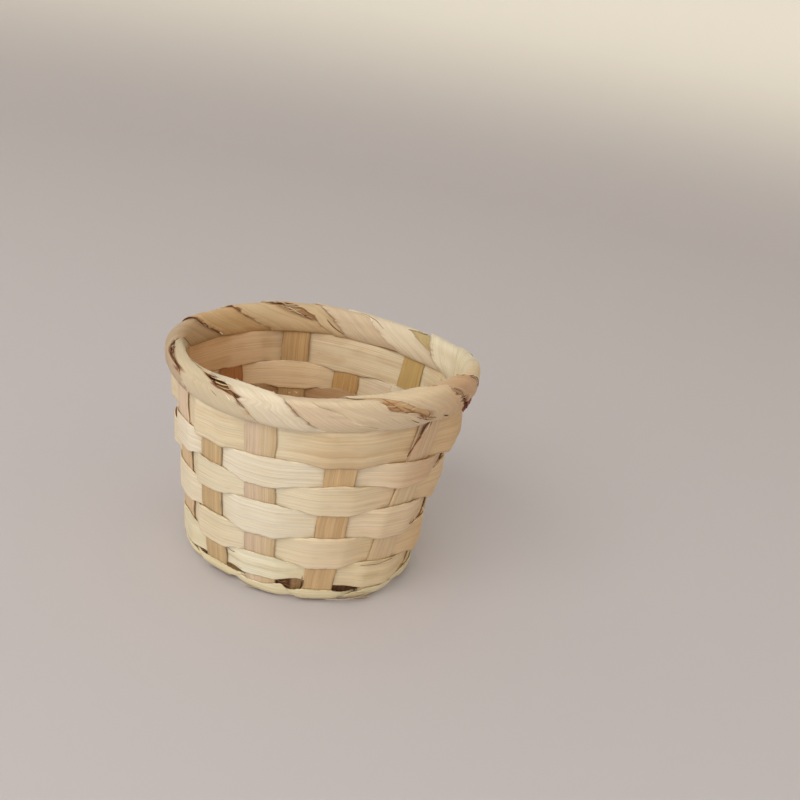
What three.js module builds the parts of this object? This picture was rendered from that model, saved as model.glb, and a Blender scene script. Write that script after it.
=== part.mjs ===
// Small round woven bamboo basket, in millimetres, +Z up, standing on its plaited base.
// Twelve wall stakes are the turned-up ends of six flat base strips, plaited 3 x 3 in the
// middle of the base. Six bands are woven round them, one over and one under, and a pair of
// narrow bands is twined round their feet, where the base turns up. The stake tips stand
// between an inner and an outer hoop, and one long strip binds the two hoops, passing twice
// round the rim. Every strip is a separate piece with two real ends.
// Angles are measured at the basket's axis from -Y (the front) towards +X.
import * as THREE from 'three';

// ---------- driving dimensions ----------
const STRIP_T = 0.6;            // thickness of stakes and weavers
const STAKE_W = 9.6;            // width of a stake
const BASE_MID = 0.75;          // height of the middle of the two-layer base plait
const BASE_LIFT = 0.45;         // half the distance between the plait's two layers
const PLAIT_PITCH = 16.0;       // spacing of the strips in the plait
const CORNER_R = 3.0;           // radius where the base turns up into the wall
const CORNER_START = 33.97;     // base radius where that turn begins
const TAPER = THREE.MathUtils.degToRad(9.03); // outward lean of the wall
const RIM_Z = 66.0;             // height of the middle of the rim
const ROW_EDGES = [61.2, 49.2, 40.9, 33.0, 23.2, 13.7, 4.9]; // heights between the wall's rows, from the rim down
const ROW_GAP = 0.35;           // gap between neighbouring rows
const WEAVE = 0.9;              // how far a weaver runs outside or inside the wall's middle
const STAKE_WEAVE = 0.12;       // the same for a stake
// The upper and the lower foot band: where each runs, in distance up the profile from the start of
// the corner, and how far it runs outside or inside the wall's middle.
const FOOT_BANDS = { 7: { span: [3.7, 5.5], weave: 0.55 }, 8: { span: [1.5, 3.3], weave: 0.85 } };
// A stake's distance up the profile at its foot, and its offset there as a share of BASE_LIFT.
const STAKE_FOOT = [[6.6, 0.25], [5.5, 0.6], [4.6, 1], [3.9, 0.8], [3.3, 0], [2.4, 0], [1.6, 0], [0.8, 0]];
const HOOP_T = 1.2, HOOP_H = 6.8, HOOP_OFF = 1.25;
const BIND_T = 0.5, BIND_A = 2.4, BIND_B = 4.1, BIND_C = 0.6; // binding's section round the hoops
const BIND_COVER = 19;          // length of rim that one turn of the binding covers
const BIND_GAP = 0.7;           // gap between neighbouring turns
const BIND_PASS = 3.1;          // half width of the binding where it passes through the wall
const SHIFT = [1.89, 3.435];    // puts the origin under the middle of the basket's outline
const GRID = -16;               // angle of the plait's front-to-back direction

// Stakes: angle of each from mid-height up, whether it shows outside on the odd rows (1, 3, 5, 7),
// and its angle at the foot where it leans.
const STAKES = [
  ['M', -65.2, 1, -71.2], ['L', -43.9, 0, -43.3], ['A', -20.3, 1, -18.3], ['B', 10.6, 0, 9.8],
  ['C', 42.2, 1, 38.4], ['D', 73, 0], ['E', 104.5, 1], ['P', 136, 0], ['O', 167.4, 1],
  ['N', 192.7, 0], ['Q', 223.4, 1], ['R', 256, 0],
].map(([id, deg, odd, footDeg = deg]) => ({ id, deg, odd, footDeg }));
const stakeAt = (id) => STAKES.find((s) => s.id === id);
// Where each turn of the binding passes through the wall, in degrees.
const PASSES = [-54.6, -32.1, -5, 21.4, 31.5, 57.7, 88.7, 115.2, 125.2, 151.7, 180, 208, 239.6, 267.5, 283.5];

const rad = THREE.MathUtils.degToRad;
const lerp = THREE.MathUtils.lerp;

// ---------- the wall's middle surface ----------
const TURN = Math.PI / 2 - TAPER;
const S_WALL = CORNER_R * TURN; // distance along the profile where the straight wall begins
const R_WALL = CORNER_START + CORNER_R * Math.sin(TURN);
const Z_WALL = BASE_MID + CORNER_R * (1 - Math.cos(TURN));
const sAtZ = (z) => S_WALL + (z - Z_WALL) / Math.cos(TAPER);
// A stake's angle at distance s along the profile.
const angleAt = (st, s) => rad(lerp(st.footDeg, st.deg, THREE.MathUtils.clamp((s - S_WALL) / (sAtZ(50) - S_WALL), 0, 1)));

// Point of the profile at distance s past the start of the corner, offset outwards by d.
function profile(s, d) {
  if (s <= 0) return [CORNER_START + s, BASE_MID - d];
  if (s < S_WALL) {
    const t = s / CORNER_R;
    return [CORNER_START + (CORNER_R + d) * Math.sin(t), BASE_MID + CORNER_R - (CORNER_R + d) * Math.cos(t)];
  }
  const k = s - S_WALL;
  return [R_WALL + k * Math.sin(TAPER) + d * Math.cos(TAPER), Z_WALL + k * Math.cos(TAPER) - d * Math.sin(TAPER)];
}

// The hand-made basket is slightly uneven: its mouth is a little oval, its rim tips 4.5 degrees
// and waves up and down, and its wall bulges.
function uneven(x, y, z) {
  const h = z / 72, f = Math.atan2(x, -y), b = h * (1 - h);
  const k = 1 + h * (0.0242 * Math.cos(2 * f) + 0.0208 * Math.sin(2 * f) + 0.0124 * Math.cos(3 * f)) + 0.0215 * b;
  const rise = h * (0.0769 * x - 0.023 * y + 0.43 * Math.cos(2 * f) + 1.58 * Math.sin(2 * f)
    - 0.5 * Math.cos(3 * f) - 0.13 * Math.sin(3 * f));
  return new THREE.Vector3(x * k - 1.87 * h - 0.71 * b + SHIFT[0], y * k - 2.97 * h + 0.27 * b + SHIFT[1], z + rise);
}
const place = (phi, s, d) => {
  const [r, z] = profile(s, d);
  return uneven(r * Math.sin(phi), -r * Math.cos(phi), z);
};

// A strip is a box, cut along its length into stations and bent to where each station lies.
// at(i, a, b): station i, across a from -0.5 to 0.5, through b from -0.5 (inside) to 0.5 (outside).
function strip(name, stations, across, at, colour, roughness, level = 0, flip = false) {
  const g = new THREE.BoxGeometry(1, 1, 1, stations - 1, across, 1);
  const p = g.attributes.position;
  for (let i = 0; i < p.count; i++) {
    const v = at(Math.round((p.getX(i) + 0.5) * (stations - 1)), p.getY(i), p.getZ(i));
    p.setXYZ(i, v.x, v.y, v.z - level);
  }
  if (flip) { // cut the outer face's cells along their other diagonal
    const { start, count } = g.groups[4];
    for (let i = start; i < start + count; i += 6) {
      const [a, b, d, , c] = [0, 1, 2, 3, 4].map((k) => g.index.getX(i + k));
      [a, b, c, a, c, d].forEach((v, k) => g.index.setX(i + k, v));
    }
  }
  g.clearGroups();
  g.computeVertexNormals();
  const m = new THREE.Mesh(g, new THREE.MeshStandardMaterial({ color: colour, roughness, metalness: 0 }));
  m.name = name;
  m.position.z = level;
  return m;
}

// ---------- base strips, whose ends are the stakes ----------
const S_TOP = sAtZ(RIM_Z + 3.0);
function stakeStrip(name, from, to, axis, middle, below, colour) {
  const [a, b] = [stakeAt(from), stakeAt(to)];
  const list = []; // { phi, s, d } on the walls, { x, y, d } on the base in the strip's own frame
  const wall = (st) => {
    const out = [{ s: S_TOP, d: 0 }, { s: sAtZ(62.6), d: 0 }];
    for (let k = 0; k < 6; k++) {
      const side = (k % 2 === 0) === !!st.odd ? 1 : -1; // row k + 1
      out.push({ s: sAtZ((ROW_EDGES[k] + ROW_EDGES[k + 1]) / 2), d: side * STAKE_WEAVE });
    }
    const foot = (st.odd ? 1 : -1) * BASE_LIFT;
    STAKE_FOOT.forEach(([s, level]) => out.push({ s, d: foot * level }));
    out.forEach((w) => { w.phi = angleAt(st, w.s); });
    return out;
  };
  list.push(...wall(a));
  // Base: the strip lies at x = middle in the plait and turns outwards to each stake's radius.
  const end = (st, sign) => {
    const t = rad(st.footDeg - axis);
    return { x: CORNER_START * Math.sin(t), y: -CORNER_START * Math.cos(t), slope: sign * Math.tan(sign > 0 ? t : Math.PI - t) };
  };
  const e1 = end(a, 1), e2 = end(b, -1);
  const bend = (e, q) => { // q from 0 at the plait's edge to 1 at the corner
    const y0 = PLAIT_PITCH + STAKE_W / 2 + 0.4, L = Math.abs(e.y) - y0;
    const h = q * q * (3 - 2 * q), k = (q * q * q - q * q) * L;
    const outward = e.x / Math.abs(e.y); // radial direction
    return { x: middle + (e.x - middle) * h + outward * k, y: Math.sign(e.y) * (y0 + q * L) };
  };
  [1, 0.72, 0.48, 0.24].forEach((q) => {
    const p = bend(e1, q);
    list.push({ x: p.x, y: p.y, d: lerp(below[0] * BASE_LIFT, 0, THREE.MathUtils.smoothstep(q, 0.1, 0.8)) });
  });
  [-1, 0, 1].forEach((j, i) => {
    const y = j * PLAIT_PITCH, h = STAKE_W / 2 + 0.4;
    list.push({ x: middle, y: y - h, d: below[i] * BASE_LIFT }, { x: middle, y: y + h, d: below[i] * BASE_LIFT });
  });
  [0.24, 0.48, 0.72, 1].forEach((q) => {
    const p = bend(e2, q);
    list.push({ x: p.x, y: p.y, d: lerp(below[2] * BASE_LIFT, 0, THREE.MathUtils.smoothstep(q, 0.1, 0.8)) });
  });
  list.push(...wall(b).reverse().map((w) => ({ ...w, back: true })));
  const ca = Math.cos(rad(axis)), sa = Math.sin(rad(axis));
  const turn = (x, y) => [x * ca - y * sa, x * sa + y * ca];
  return strip(name, list.length, 2, (i, u, v) => {
    const w = list[i];
    if (w.phi !== undefined) {
      const r = profile(w.s, 0)[0];
      return place(w.phi + ((w.back ? -1 : 1) * u * STAKE_W) / r, w.s, w.d + v * STRIP_T);
    }
    const p = list[i - 1], n = list[i + 1];
    const flat = (q) => (q.phi === undefined ? [q.x, q.y]
      : [profile(q.s, 0)[0] * Math.sin(q.phi - rad(axis)), -profile(q.s, 0)[0] * Math.cos(q.phi - rad(axis))]);
    const [px, py] = flat(p), [nx, ny] = flat(n), l = Math.hypot(nx - px, ny - py);
    const [x, y] = turn(w.x + (u * STAKE_W * (ny - py)) / l, w.y - (u * STAKE_W * (nx - px)) / l);
    return uneven(x, y, BASE_MID - w.d - v * STRIP_T);
  }, colour, 0.62);
}
// below: 1 where the strip runs under the one it crosses, -1 where it runs over it, front to back.
const stakeStrips = [
  stakeStrip('stake_strip_left', 'L', 'N', GRID, -PLAIT_PITCH, [1, -1, 1], 0xc9a877),
  stakeStrip('stake_strip_centre', 'A', 'O', GRID, 0, [-1, 1, -1], 0xc2a078),
  stakeStrip('stake_strip_right', 'B', 'P', GRID, PLAIT_PITCH, [1, -1, 1], 0xbf9d68),
  stakeStrip('stake_strip_front', 'C', 'M', GRID + 90, -PLAIT_PITCH, [-1, 1, -1], 0xcaab80),
  stakeStrip('stake_strip_middle', 'D', 'R', GRID + 90, 0, [1, -1, 1], 0xc8a878),
  stakeStrip('stake_strip_back', 'E', 'Q', GRID + 90, PLAIT_PITCH, [-1, 1, -1], 0xc4a070),
];

// ---------- weavers ----------
// Stations round the basket: flat over each stake, ramps between. The two ends lap behind a stake.
function weaver(name, row, lapStake, colour) {
  const foot = FOOT_BANDS[row], lift = foot ? foot.weave : WEAVE;
  const edge = foot ? null : [sAtZ(ROW_EDGES[row]) + ROW_GAP / 2, sAtZ(ROW_EDGES[row - 1]) - ROW_GAP / 2];
  if (row === 1) edge[1] = sAtZ(ROW_EDGES[0]);
  if (row === 6) edge[0] = sAtZ(ROW_EDGES[6]);
  const [s0, s1] = foot ? foot.span : edge;
  const radius = profile((s0 + s1) / 2, 0)[0];
  const flat = (STAKE_W / 2 + 0.5) / radius;
  const n = STAKES.length, first = STAKES.findIndex((s) => s.id === lapStake);
  const at = (j) => {
    const st = STAKES[(first + j) % n], turns = Math.floor((first + j) / n);
    const outside = (row % 2 === 1) !== !!st.odd; // the stake shows on this row, or the weaver does
    return { phi: angleAt(st, (s0 + s1) / 2) + turns * 2 * Math.PI, d: outside ? lift : -lift };
  };
  const list = [];
  const lap = 0.45 + STRIP_T / 2; // the two layers of the lap, either side of the inside run
  for (let j = 0; j <= n; j++) {
    const here = at(j);
    const d = j === n ? here.d - 2 * lap + 0.3 : here.d;
    if (j > 0) {
      const prev = list[list.length - 1], start = here.phi - flat;
      for (const q of [0.3, 0.7]) {
        const e = q * q * (3 - 2 * q);
        list.push({ phi: lerp(prev.phi, start, q), d: lerp(prev.d, d, e) });
      }
    }
    if (j === n) { list.push({ phi: here.phi - flat, d }, { phi: here.phi, d }, { phi: here.phi + flat * 0.9, d }); break; }
    if (j === 0) list.push({ phi: here.phi - flat * 0.9, d });
    else list.push({ phi: here.phi - flat, d });
    list.push({ phi: here.phi, d }, { phi: here.phi + flat, d });
  }
  const level = foot ? 0 : Math.round((profile(s0, 0)[1] + profile(s1, 0)[1]) / 2);
  return strip(name, list.length, foot ? 2 : 1, (i, u, v) =>
    place(list[i].phi, lerp(s0, s1, u + 0.5), list[i].d + v * STRIP_T), colour, 0.55, level);
}
// Each row's ends lap behind a stake that the row passes on the inside.
const weavers = [
  weaver('weaver_row_1', 1, 'E', 0xd9c096),
  weaver('weaver_row_2', 2, 'P', 0xdfc8a0),
  weaver('weaver_row_3', 3, 'Q', 0xdcc39a),
  weaver('weaver_row_4', 4, 'R', 0xdac196),
  weaver('weaver_row_5', 5, 'O', 0xdec7a0),
  weaver('weaver_row_6', 6, 'N', 0xdcc59a),
  weaver('foot_band_upper', 7, 'Q', 0xd6c08c),
  weaver('foot_band_lower', 8, 'P', 0xd6c08c),
];

// ---------- rim hoops: each one turn, with ends scarfed to half thickness ----------
const S_RIM = sAtZ(RIM_Z);
function hoop(name, side, startDeg, colour) {
  const lapDeg = 24, step = 6, list = [];
  for (let t = 0; t <= 360 + lapDeg; t += step) {
    const head = t < lapDeg, tail = t > 360, q = head ? t / lapDeg : tail ? (360 + lapDeg - t) / lapDeg : 1;
    // Inner end below, outer end above in the thickness, thinning to 0.25 mm at its tip.
    const lo = head ? -HOOP_T / 2 : tail ? lerp(HOOP_T / 2 - 0.25, -HOOP_T / 2 + 0.75, q) : -HOOP_T / 2;
    const hi = head ? lerp(-HOOP_T / 2 + 0.25, HOOP_T / 2 - 0.75 + 0.3, q) : HOOP_T / 2;
    list.push({ phi: rad(startDeg + t), lo, hi: head && q > 0.99 ? HOOP_T / 2 : hi });
  }
  return strip(name, list.length, 1, (i, u, v) =>
    place(list[i].phi, S_RIM + u * HOOP_H, side * HOOP_OFF + lerp(list[i].lo, list[i].hi, v + 0.5)), colour, 0.6, Math.round(RIM_Z));
}

// ---------- binding: one strip, fifteen turns, twice round the rim ----------
// Its section runs over the top, down the outside, under the hoops through the wall, and up the inside.
function binding(name, colour) {
  const k = Math.tan(Math.PI / 8);
  const section = []; // { x, y, nx, ny, q }: place round the hoops, outward direction, share of the half turn
  const add = (x, y, nx, ny, q, pass = 0) => section.push({ x, y, nx, ny, q, pass });
  const A = BIND_A, B = BIND_B, C = BIND_C, f = B - C;
  add(0, B, 0, 1, 0);
  add(A - C, B, k, 1, 0.13);
  add(A, B - C, 1, k, 0.2);
  add(A, f / 3, 1, 0, 0.4);
  add(A, -f / 3, 1, 0, 0.6);
  add(A, -(B - C), 1, -k, 0.8);
  add(A - C, -B, k, -1, 0.87);
  add(0.8, -B, 0, -1, 0.96, 1);
  add(-0.8, -B, 0, -1, 1.04, 1);
  add(-(A - C), -B, -k, -1, 1.13);
  add(-A, -(B - C), -1, -k, 1.2);
  add(-A, -f / 3, -1, 0, 1.4);
  add(-A, f / 3, -1, 0, 1.6);
  add(-A, B - C, -1, k, 1.8);
  add(-(A - C), B, -k, 1, 1.87);
  const n = PASSES.length;
  const pass = (i) => PASSES[((i % n) + n) % n] + 360 * Math.floor(i / n);
  const top = (i) => (pass(i - 2) + pass(i)) / 2;
  const centre = (i, q) => (q <= 1 ? lerp(top(i), pass(i), q) : lerp(pass(i), top(i + 2), q - 1));
  const round = profile(S_RIM, 0)[0];
  const list = [];
  const START = 10; // the strip's two ends meet on the inside, under the hoop
  for (let turn = 0; turn <= n; turn++) {
    for (let m = 0; m < section.length; m++) {
      if (turn === 0 && m < START) continue;
      if (turn === n && m > START) break;
      const w = section[m], i = turn * 2;
      const c = centre(i, w.q), lo = w.q <= 1 ? centre(i - 1, w.q) : centre(i - 1, w.q), hi = centre(i + 1, w.q);
      const mm = rad(1) * (round + w.x);
      let left = Math.min(BIND_COVER / 2, ((c - lo) * mm - BIND_GAP) / 2);
      let right = Math.min(BIND_COVER / 2, ((hi - c) * mm - BIND_GAP) / 2);
      if (w.pass) left = right = BIND_PASS;
      list.push({ ...w, phi: rad(c), left: left / (round + w.x), right: right / (round + w.x) });
    }
  }
  // The two ends stop short of each other.
  const trim = (p, q, share) => { for (const key of ['x', 'y', 'phi', 'left', 'right']) p[key] = lerp(p[key], q[key], share); };
  trim(list[0], list[1], 0.25);
  trim(list[list.length - 1], list[list.length - 2], 0.5);
  // Across runs towards +phi on every face.
  return strip(name, list.length, 3, (i, u, v) => {
    const w = list[i], phi = w.phi + lerp(-w.left, w.right, u + 0.5);
    return place(phi, S_RIM + w.y + v * BIND_T * w.ny, w.x + v * BIND_T * w.nx);
  }, colour, 0.5, Math.round(RIM_Z), true);
}
const rim = [
  hoop('rim_hoop_inner', -1, 140, 0xb89c5e),
  hoop('rim_hoop_outer', 1, 215, 0xb59a5c),
  binding('rim_binding_strip', 0xddc8a2),
];

// ---------- assembly ----------
const basket = new THREE.Group();
basket.name = 'woven_bamboo_basket';
for (const [name, parts] of [['base_and_stakes', stakeStrips], ['wall', weavers], ['rim', rim]]) {
  const g = new THREE.Group();
  g.name = name;
  g.add(...parts);
  basket.add(g);
}
export default basket;
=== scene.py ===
import math

import bpy
import numpy as np
from mathutils import Matrix, Vector


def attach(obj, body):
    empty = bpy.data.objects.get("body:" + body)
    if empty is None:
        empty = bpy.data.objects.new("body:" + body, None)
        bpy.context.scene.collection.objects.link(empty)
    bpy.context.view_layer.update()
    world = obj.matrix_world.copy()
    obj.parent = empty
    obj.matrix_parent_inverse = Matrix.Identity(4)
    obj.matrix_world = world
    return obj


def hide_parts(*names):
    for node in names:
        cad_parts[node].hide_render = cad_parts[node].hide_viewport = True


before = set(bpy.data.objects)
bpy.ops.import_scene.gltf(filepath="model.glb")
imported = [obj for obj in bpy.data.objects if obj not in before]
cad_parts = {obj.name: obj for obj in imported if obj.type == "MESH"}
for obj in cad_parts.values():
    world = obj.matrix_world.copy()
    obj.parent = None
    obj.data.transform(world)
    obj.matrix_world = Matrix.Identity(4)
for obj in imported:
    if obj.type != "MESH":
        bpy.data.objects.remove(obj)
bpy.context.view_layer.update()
MM = 0.001
rad = np.radians

# ------------------------------------------------------------------ camera
FOCAL_PX = 1039.156          # focal length in pixels of the 800 x 800 frame
cam_data = bpy.data.cameras.new("camera")
cam_data.sensor_width = 36.0
cam_data.lens = FOCAL_PX * 36.0 / 800.0
cam_data.clip_start, cam_data.clip_end = 0.01, 50.0
camera = bpy.data.objects.new("camera", cam_data)
bpy.context.scene.collection.objects.link(camera)
right = Vector((0.98299, -0.04895, 0.17702)).normalized()
down = Vector((0.14967, -0.34507, -0.92656))
down = (down - right * down.dot(right)).normalized()
forward = right.cross(down)
camera.matrix_world = Matrix((
    (right.x, -down.x, -forward.x, -9.461 * MM),
    (right.y, -down.y, -forward.y, -308.671 * MM),
    (right.z, -down.z, -forward.z, 166.222 * MM),
    (0, 0, 0, 1)))
bpy.context.scene.camera = camera

# ------------------------------------------------------------------ the wall's middle surface
BASE_MID, BASE_LIFT, PLAIT_PITCH = 0.75, 0.31, 16.0
CORNER_R, CORNER_START, TAPER = 3.0, 33.97, math.radians(9.03)
RIM_Z, GRID = 66.0, -16.0
STAKE_W = 9.5
SHIFT = (1.89, 3.435)
TURN = math.pi / 2 - TAPER
S_WALL = CORNER_R * TURN
R_WALL = CORNER_START + CORNER_R * math.sin(TURN)
Z_WALL = BASE_MID + CORNER_R * (1 - math.cos(TURN))


def s_at(z):
    return S_WALL + (z - Z_WALL) / math.cos(TAPER)


def profile(s, d):
    """Radius and height at distance s up the profile, offset outwards by d."""
    s, d = np.broadcast_arrays(np.asarray(s, float), np.asarray(d, float))
    t = np.clip(s / CORNER_R, 0, TURN)
    k = np.maximum(s - S_WALL, 0)
    r = CORNER_START + (CORNER_R + d) * np.sin(t) + k * math.sin(TAPER) + np.minimum(s, 0)
    z = BASE_MID + CORNER_R - (CORNER_R + d) * np.cos(t) + k * math.cos(TAPER)
    return r, z


def hump(f, at, wide):
    """1 at the angle at, falling away over wide degrees. f in radians."""
    return np.exp(-(np.angle(np.exp(1j * (f - rad(at)))) / rad(wide)) ** 2)


def foot_lift(f):
    """How far the foot stands off the floor round the basket, f in radians."""
    return 0.9 * hump(f, -34, 17) + 0.9 * hump(f, 66, 18) + 0.8 * hump(f, 150, 25) + 0.9 * hump(f, 235, 24)


# How far the right side stands in from the even taper, by height, in millimetres.
PULL_Z = [1, 4, 7, 10, 14, 18, 21, 24, 27, 30, 33, 36, 40, 43, 46, 50, 54, 57, 60, 62, 64]
PULL = [0, -0.4, -0.8, -0.8, -0.6, -1.0, -1.3, -1.0, -1.0, -1.3, -0.4, 0.2, -0.4, -0.9, -0.1, 0.7, 0.0, -0.8, -0.9, -0.3, 0]


def uneven(x, y, z):
    """The hand-made basket's oval mouth, tipped and wavy rim, bulging wall and uneven foot."""
    h = z / 72
    f = np.arctan2(x, -y)
    b = h * (1 - h)
    k = 1 + h * (0.0242 * np.cos(2 * f) + 0.0208 * np.sin(2 * f) + 0.0124 * np.cos(3 * f)) + 0.0215 * b
    rise = h * (0.0769 * x - 0.023 * y + 0.43 * np.cos(2 * f) + 1.58 * np.sin(2 * f)
                - 0.5 * np.cos(3 * f) - 0.13 * np.sin(3 * f))
    r = np.hypot(x, y)
    low = np.clip((r - 24) / 10, 0, 1) * np.clip(1 - (z - 2) / 14, 0, 1)
    rise = rise + foot_lift(f) * low * low * (3 - 2 * low)
    # The right side is pulled in under the rim and the left side stands out.
    side = np.clip(4 * b, 0, 1) ** 0.8
    k = k - (1.1 * hump(f, 92, 26) - 0.5 * hump(f, -92, 26)) * side / 42
    top = np.clip((h - 0.72) / 0.18, 0, 1)
    k = k - 0.95 * hump(f, 92, 20) * top / 49
    k = k + hump(f, 90, 24) * np.interp(z, PULL_Z, PULL) / 42
    rise = rise - 0.8 * hump(f, -128, 24) * top - 0.3 * hump(f, -160, 30) * top
    return np.stack([x * k - 1.87 * h - 0.71 * b + SHIFT[0], y * k - 2.97 * h + 0.27 * b + SHIFT[1], z + rise], -1)


def place(phi, s, d):
    """Point at angle phi (degrees), distance s up the profile, offset d outwards."""
    phi, s, d = np.broadcast_arrays(np.asarray(phi, float), np.asarray(s, float), np.asarray(d, float))
    r, z = profile(s, d)
    p = rad(phi)
    return uneven(r * np.sin(p), -r * np.cos(p), z)


def wander(seed, x, length, amount, n=6):
    """Smooth seeded wander along x, with bends about length long."""
    g = np.random.default_rng(seed)
    k = g.uniform(0.45, 1.9, n) / length
    p = g.uniform(0, 2 * np.pi, n)
    a = g.normal(0, 1, n) * math.sqrt(2.0 / n)
    x = np.asarray(x, float)
    return amount * sum(a[i] * np.sin(2 * np.pi * k[i] * x + p[i]) for i in range(n))


def smooth(q):
    q = np.clip(q, 0, 1)
    return q * q * (3 - 2 * q)


def pchip(xs, ys, x):
    """Shape-preserving curve through (xs, ys)."""
    xs, ys, x = np.asarray(xs, float), np.asarray(ys, float), np.asarray(x, float)
    h = np.diff(xs)
    m = np.diff(ys) / h
    d = np.zeros_like(ys)
    same = m[:-1] * m[1:] > 0
    w1, w2 = 2 * h[1:] + h[:-1], h[1:] + 2 * h[:-1]
    with np.errstate(divide="ignore", invalid="ignore"):
        mid = (w1 + w2) / (w1 / m[:-1] + w2 / m[1:])
    d[1:-1] = np.where(same, mid, 0)
    d[0], d[-1] = m[0], m[-1]
    x = np.clip(x, xs[0], xs[-1])
    i = np.clip(np.searchsorted(xs, x, side="right") - 1, 0, len(h) - 1)
    t = (x - xs[i]) / h[i]
    return ((1 + 2 * t) * (1 - t) ** 2 * ys[i] + t * (1 - t) ** 2 * h[i] * d[i]
            + t * t * (3 - 2 * t) * ys[i + 1] + t * t * (t - 1) * h[i] * d[i + 1])


# ------------------------------------------------------------------ stakes
# Angle of each stake at heights 4, 15, 27, 38 and 50, and whether it shows outside on the odd rows.
STAKE_Z = [4.0, 15.0, 27.0, 38.0, 50.0]
STAKES = [
    ("M", [-70.5, -67.6, -65.8, -64.8, -66.0], 1), ("L", [-42.7, -42.6, -44.2, -43.7, -42.8], 0),
    ("A", [-17.2, -18.4, -18.9, -19.4, -20.1], 1), ("B", [9.2, 9.8, 10.5, 10.3, 9.8], 0),
    ("C", [37.0, 37.6, 39.4, 41.2, 42.5], 1), ("D", [72.4, 72.8, 73.2, 73.3, 73.0], 0),
    ("E", [104.8, 104.6, 104.2, 104.3, 104.8], 1), ("P", [136.3, 136.2, 136.1, 135.9, 135.8], 0),
    ("O", [167.0, 167.2, 167.3, 167.4, 167.5], 1), ("N", [192.9, 192.8, 192.8, 192.7, 192.5], 0),
    ("Q", [223.6, 223.5, 223.4, 223.3, 223.2], 1), ("R", [255.8, 256.1, 256.2, 256.0, 255.8], 0),
]
WIDTHS = {"M": 9.6, "L": 9.2, "A": 9.65, "B": 9.1, "C": 9.5, "D": 9.2, "E": 9.5, "P": 9.5, "O": 9.2, "N": 9.6,
          "Q": 9.3, "R": 9.4}
INDEX = {st[0]: i for i, st in enumerate(STAKES)}


def stake_angle(i, z):
    return pchip(STAKE_Z, STAKES[i][1], z)


# Where strips lie flat and bend: the wall's section is a rounded polygon with a corner at each
# edge of each stake. FACET holds how far each place lies inside the round wall.
FACETS = 0.7
GRID_PHI = np.arange(-360.0, 720.0, 0.5)
GRID_Z = np.array([2.0, 8.0, 15.0, 22.0, 30.0, 38.0, 46.0, 54.0, 62.0])


def rounded(values, degrees_wide):
    n = int(4 * degrees_wide / 0.5)
    k = np.exp(-0.5 * ((np.arange(-n, n + 1) * 0.5) / degrees_wide) ** 2)
    return np.convolve(np.pad(values, n, mode="edge"), k / k.sum(), mode="valid")


def facet_row(z):
    r = float(profile(s_at(z), 0)[0])
    corners = []
    for i, st in enumerate(STAKES):
        half = math.degrees((WIDTHS[st[0]] / 2 - 0.25) / r)
        a = float(stake_angle(i, z))
        corners += [a - half, a + half]
    corners = np.array(sorted(corners))
    corners = np.concatenate([corners - 360 * k for k in (1, 0, -1)] + [corners + 720])
    corners = np.array(sorted(set(np.round(corners, 4))))
    j = np.clip(np.searchsorted(corners, GRID_PHI, side="right") - 1, 0, len(corners) - 2)
    a, b = corners[j], corners[j + 1]
    d = r * np.cos(rad((b - a) / 2)) / np.cos(rad(np.clip(GRID_PHI - (a + b) / 2, -20, 20))) - r
    return FACETS * rounded(np.maximum(d, -0.8), 1.0)


FACET = np.array([facet_row(z) for z in GRID_Z])


def facet(phi, z):
    """Offset of the flat-sided wall at angle phi and height z."""
    phi, z = np.broadcast_arrays(np.asarray(phi, float), np.asarray(z, float))
    u = (phi - GRID_PHI[0]) / 0.5
    i = np.clip(u.astype(int), 0, len(GRID_PHI) - 2)
    fu = np.clip(u - i, 0, 1)
    zz = np.clip(z, GRID_Z[0], GRID_Z[-1])
    j = np.clip(np.searchsorted(GRID_Z, zz, side="right") - 1, 0, len(GRID_Z) - 2)
    fz = (zz - GRID_Z[j]) / (GRID_Z[j + 1] - GRID_Z[j])
    lo = FACET[j, i] * (1 - fu) + FACET[j, i + 1] * fu
    hi = FACET[j + 1, i] * (1 - fu) + FACET[j + 1, i + 1] * fu
    return lo * (1 - fz) + hi * fz


# ------------------------------------------------------------------ meshes
def across(n, edge=0.02):
    """Places across a strip from -0.5 to 0.5, closer together at its edges."""
    inner = np.linspace(-0.5 + 3 * edge, 0.5 - 3 * edge, n - 4)
    return np.concatenate([[-0.5, -0.5 + edge], inner, [0.5 - edge, 0.5]])


def mesh_object(name, verts, faces, fields):
    """A mesh object from arrays in millimetres, quads, and named per-point fields."""
    me = bpy.data.meshes.new(name)
    verts = np.asarray(verts, np.float32) * MM
    faces = np.asarray(faces, np.int32)
    me.vertices.add(len(verts))
    me.vertices.foreach_set("co", verts.ravel())
    me.loops.add(faces.size)
    me.loops.foreach_set("vertex_index", faces.ravel())
    me.polygons.add(len(faces))
    me.polygons.foreach_set("loop_start", np.arange(0, faces.size, 4, dtype=np.int32))
    me.polygons.foreach_set("loop_total", np.full(len(faces), 4, np.int32))
    me.update(calc_edges=True)
    me.polygons.foreach_set("use_smooth", np.ones(len(faces), bool))
    for key, values in fields.items():
        values = np.asarray(values, np.float32)
        if values.ndim == 1:
            a = me.attributes.new(key, "FLOAT", "POINT")
            a.data.foreach_set("value", values)
        elif key == "tint":
            a = me.attributes.new(key, "FLOAT_COLOR", "POINT")
            a.data.foreach_set("color", np.concatenate([values, np.ones((len(values), 1), np.float32)], 1).ravel())
        else:
            a = me.attributes.new(key, "FLOAT_VECTOR", "POINT")
            a.data.foreach_set("vector", values.ravel())
    me.validate()
    me.update()
    ob = bpy.data.objects.new(name, me)
    bpy.context.scene.collection.objects.link(ob)
    return ob


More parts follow.
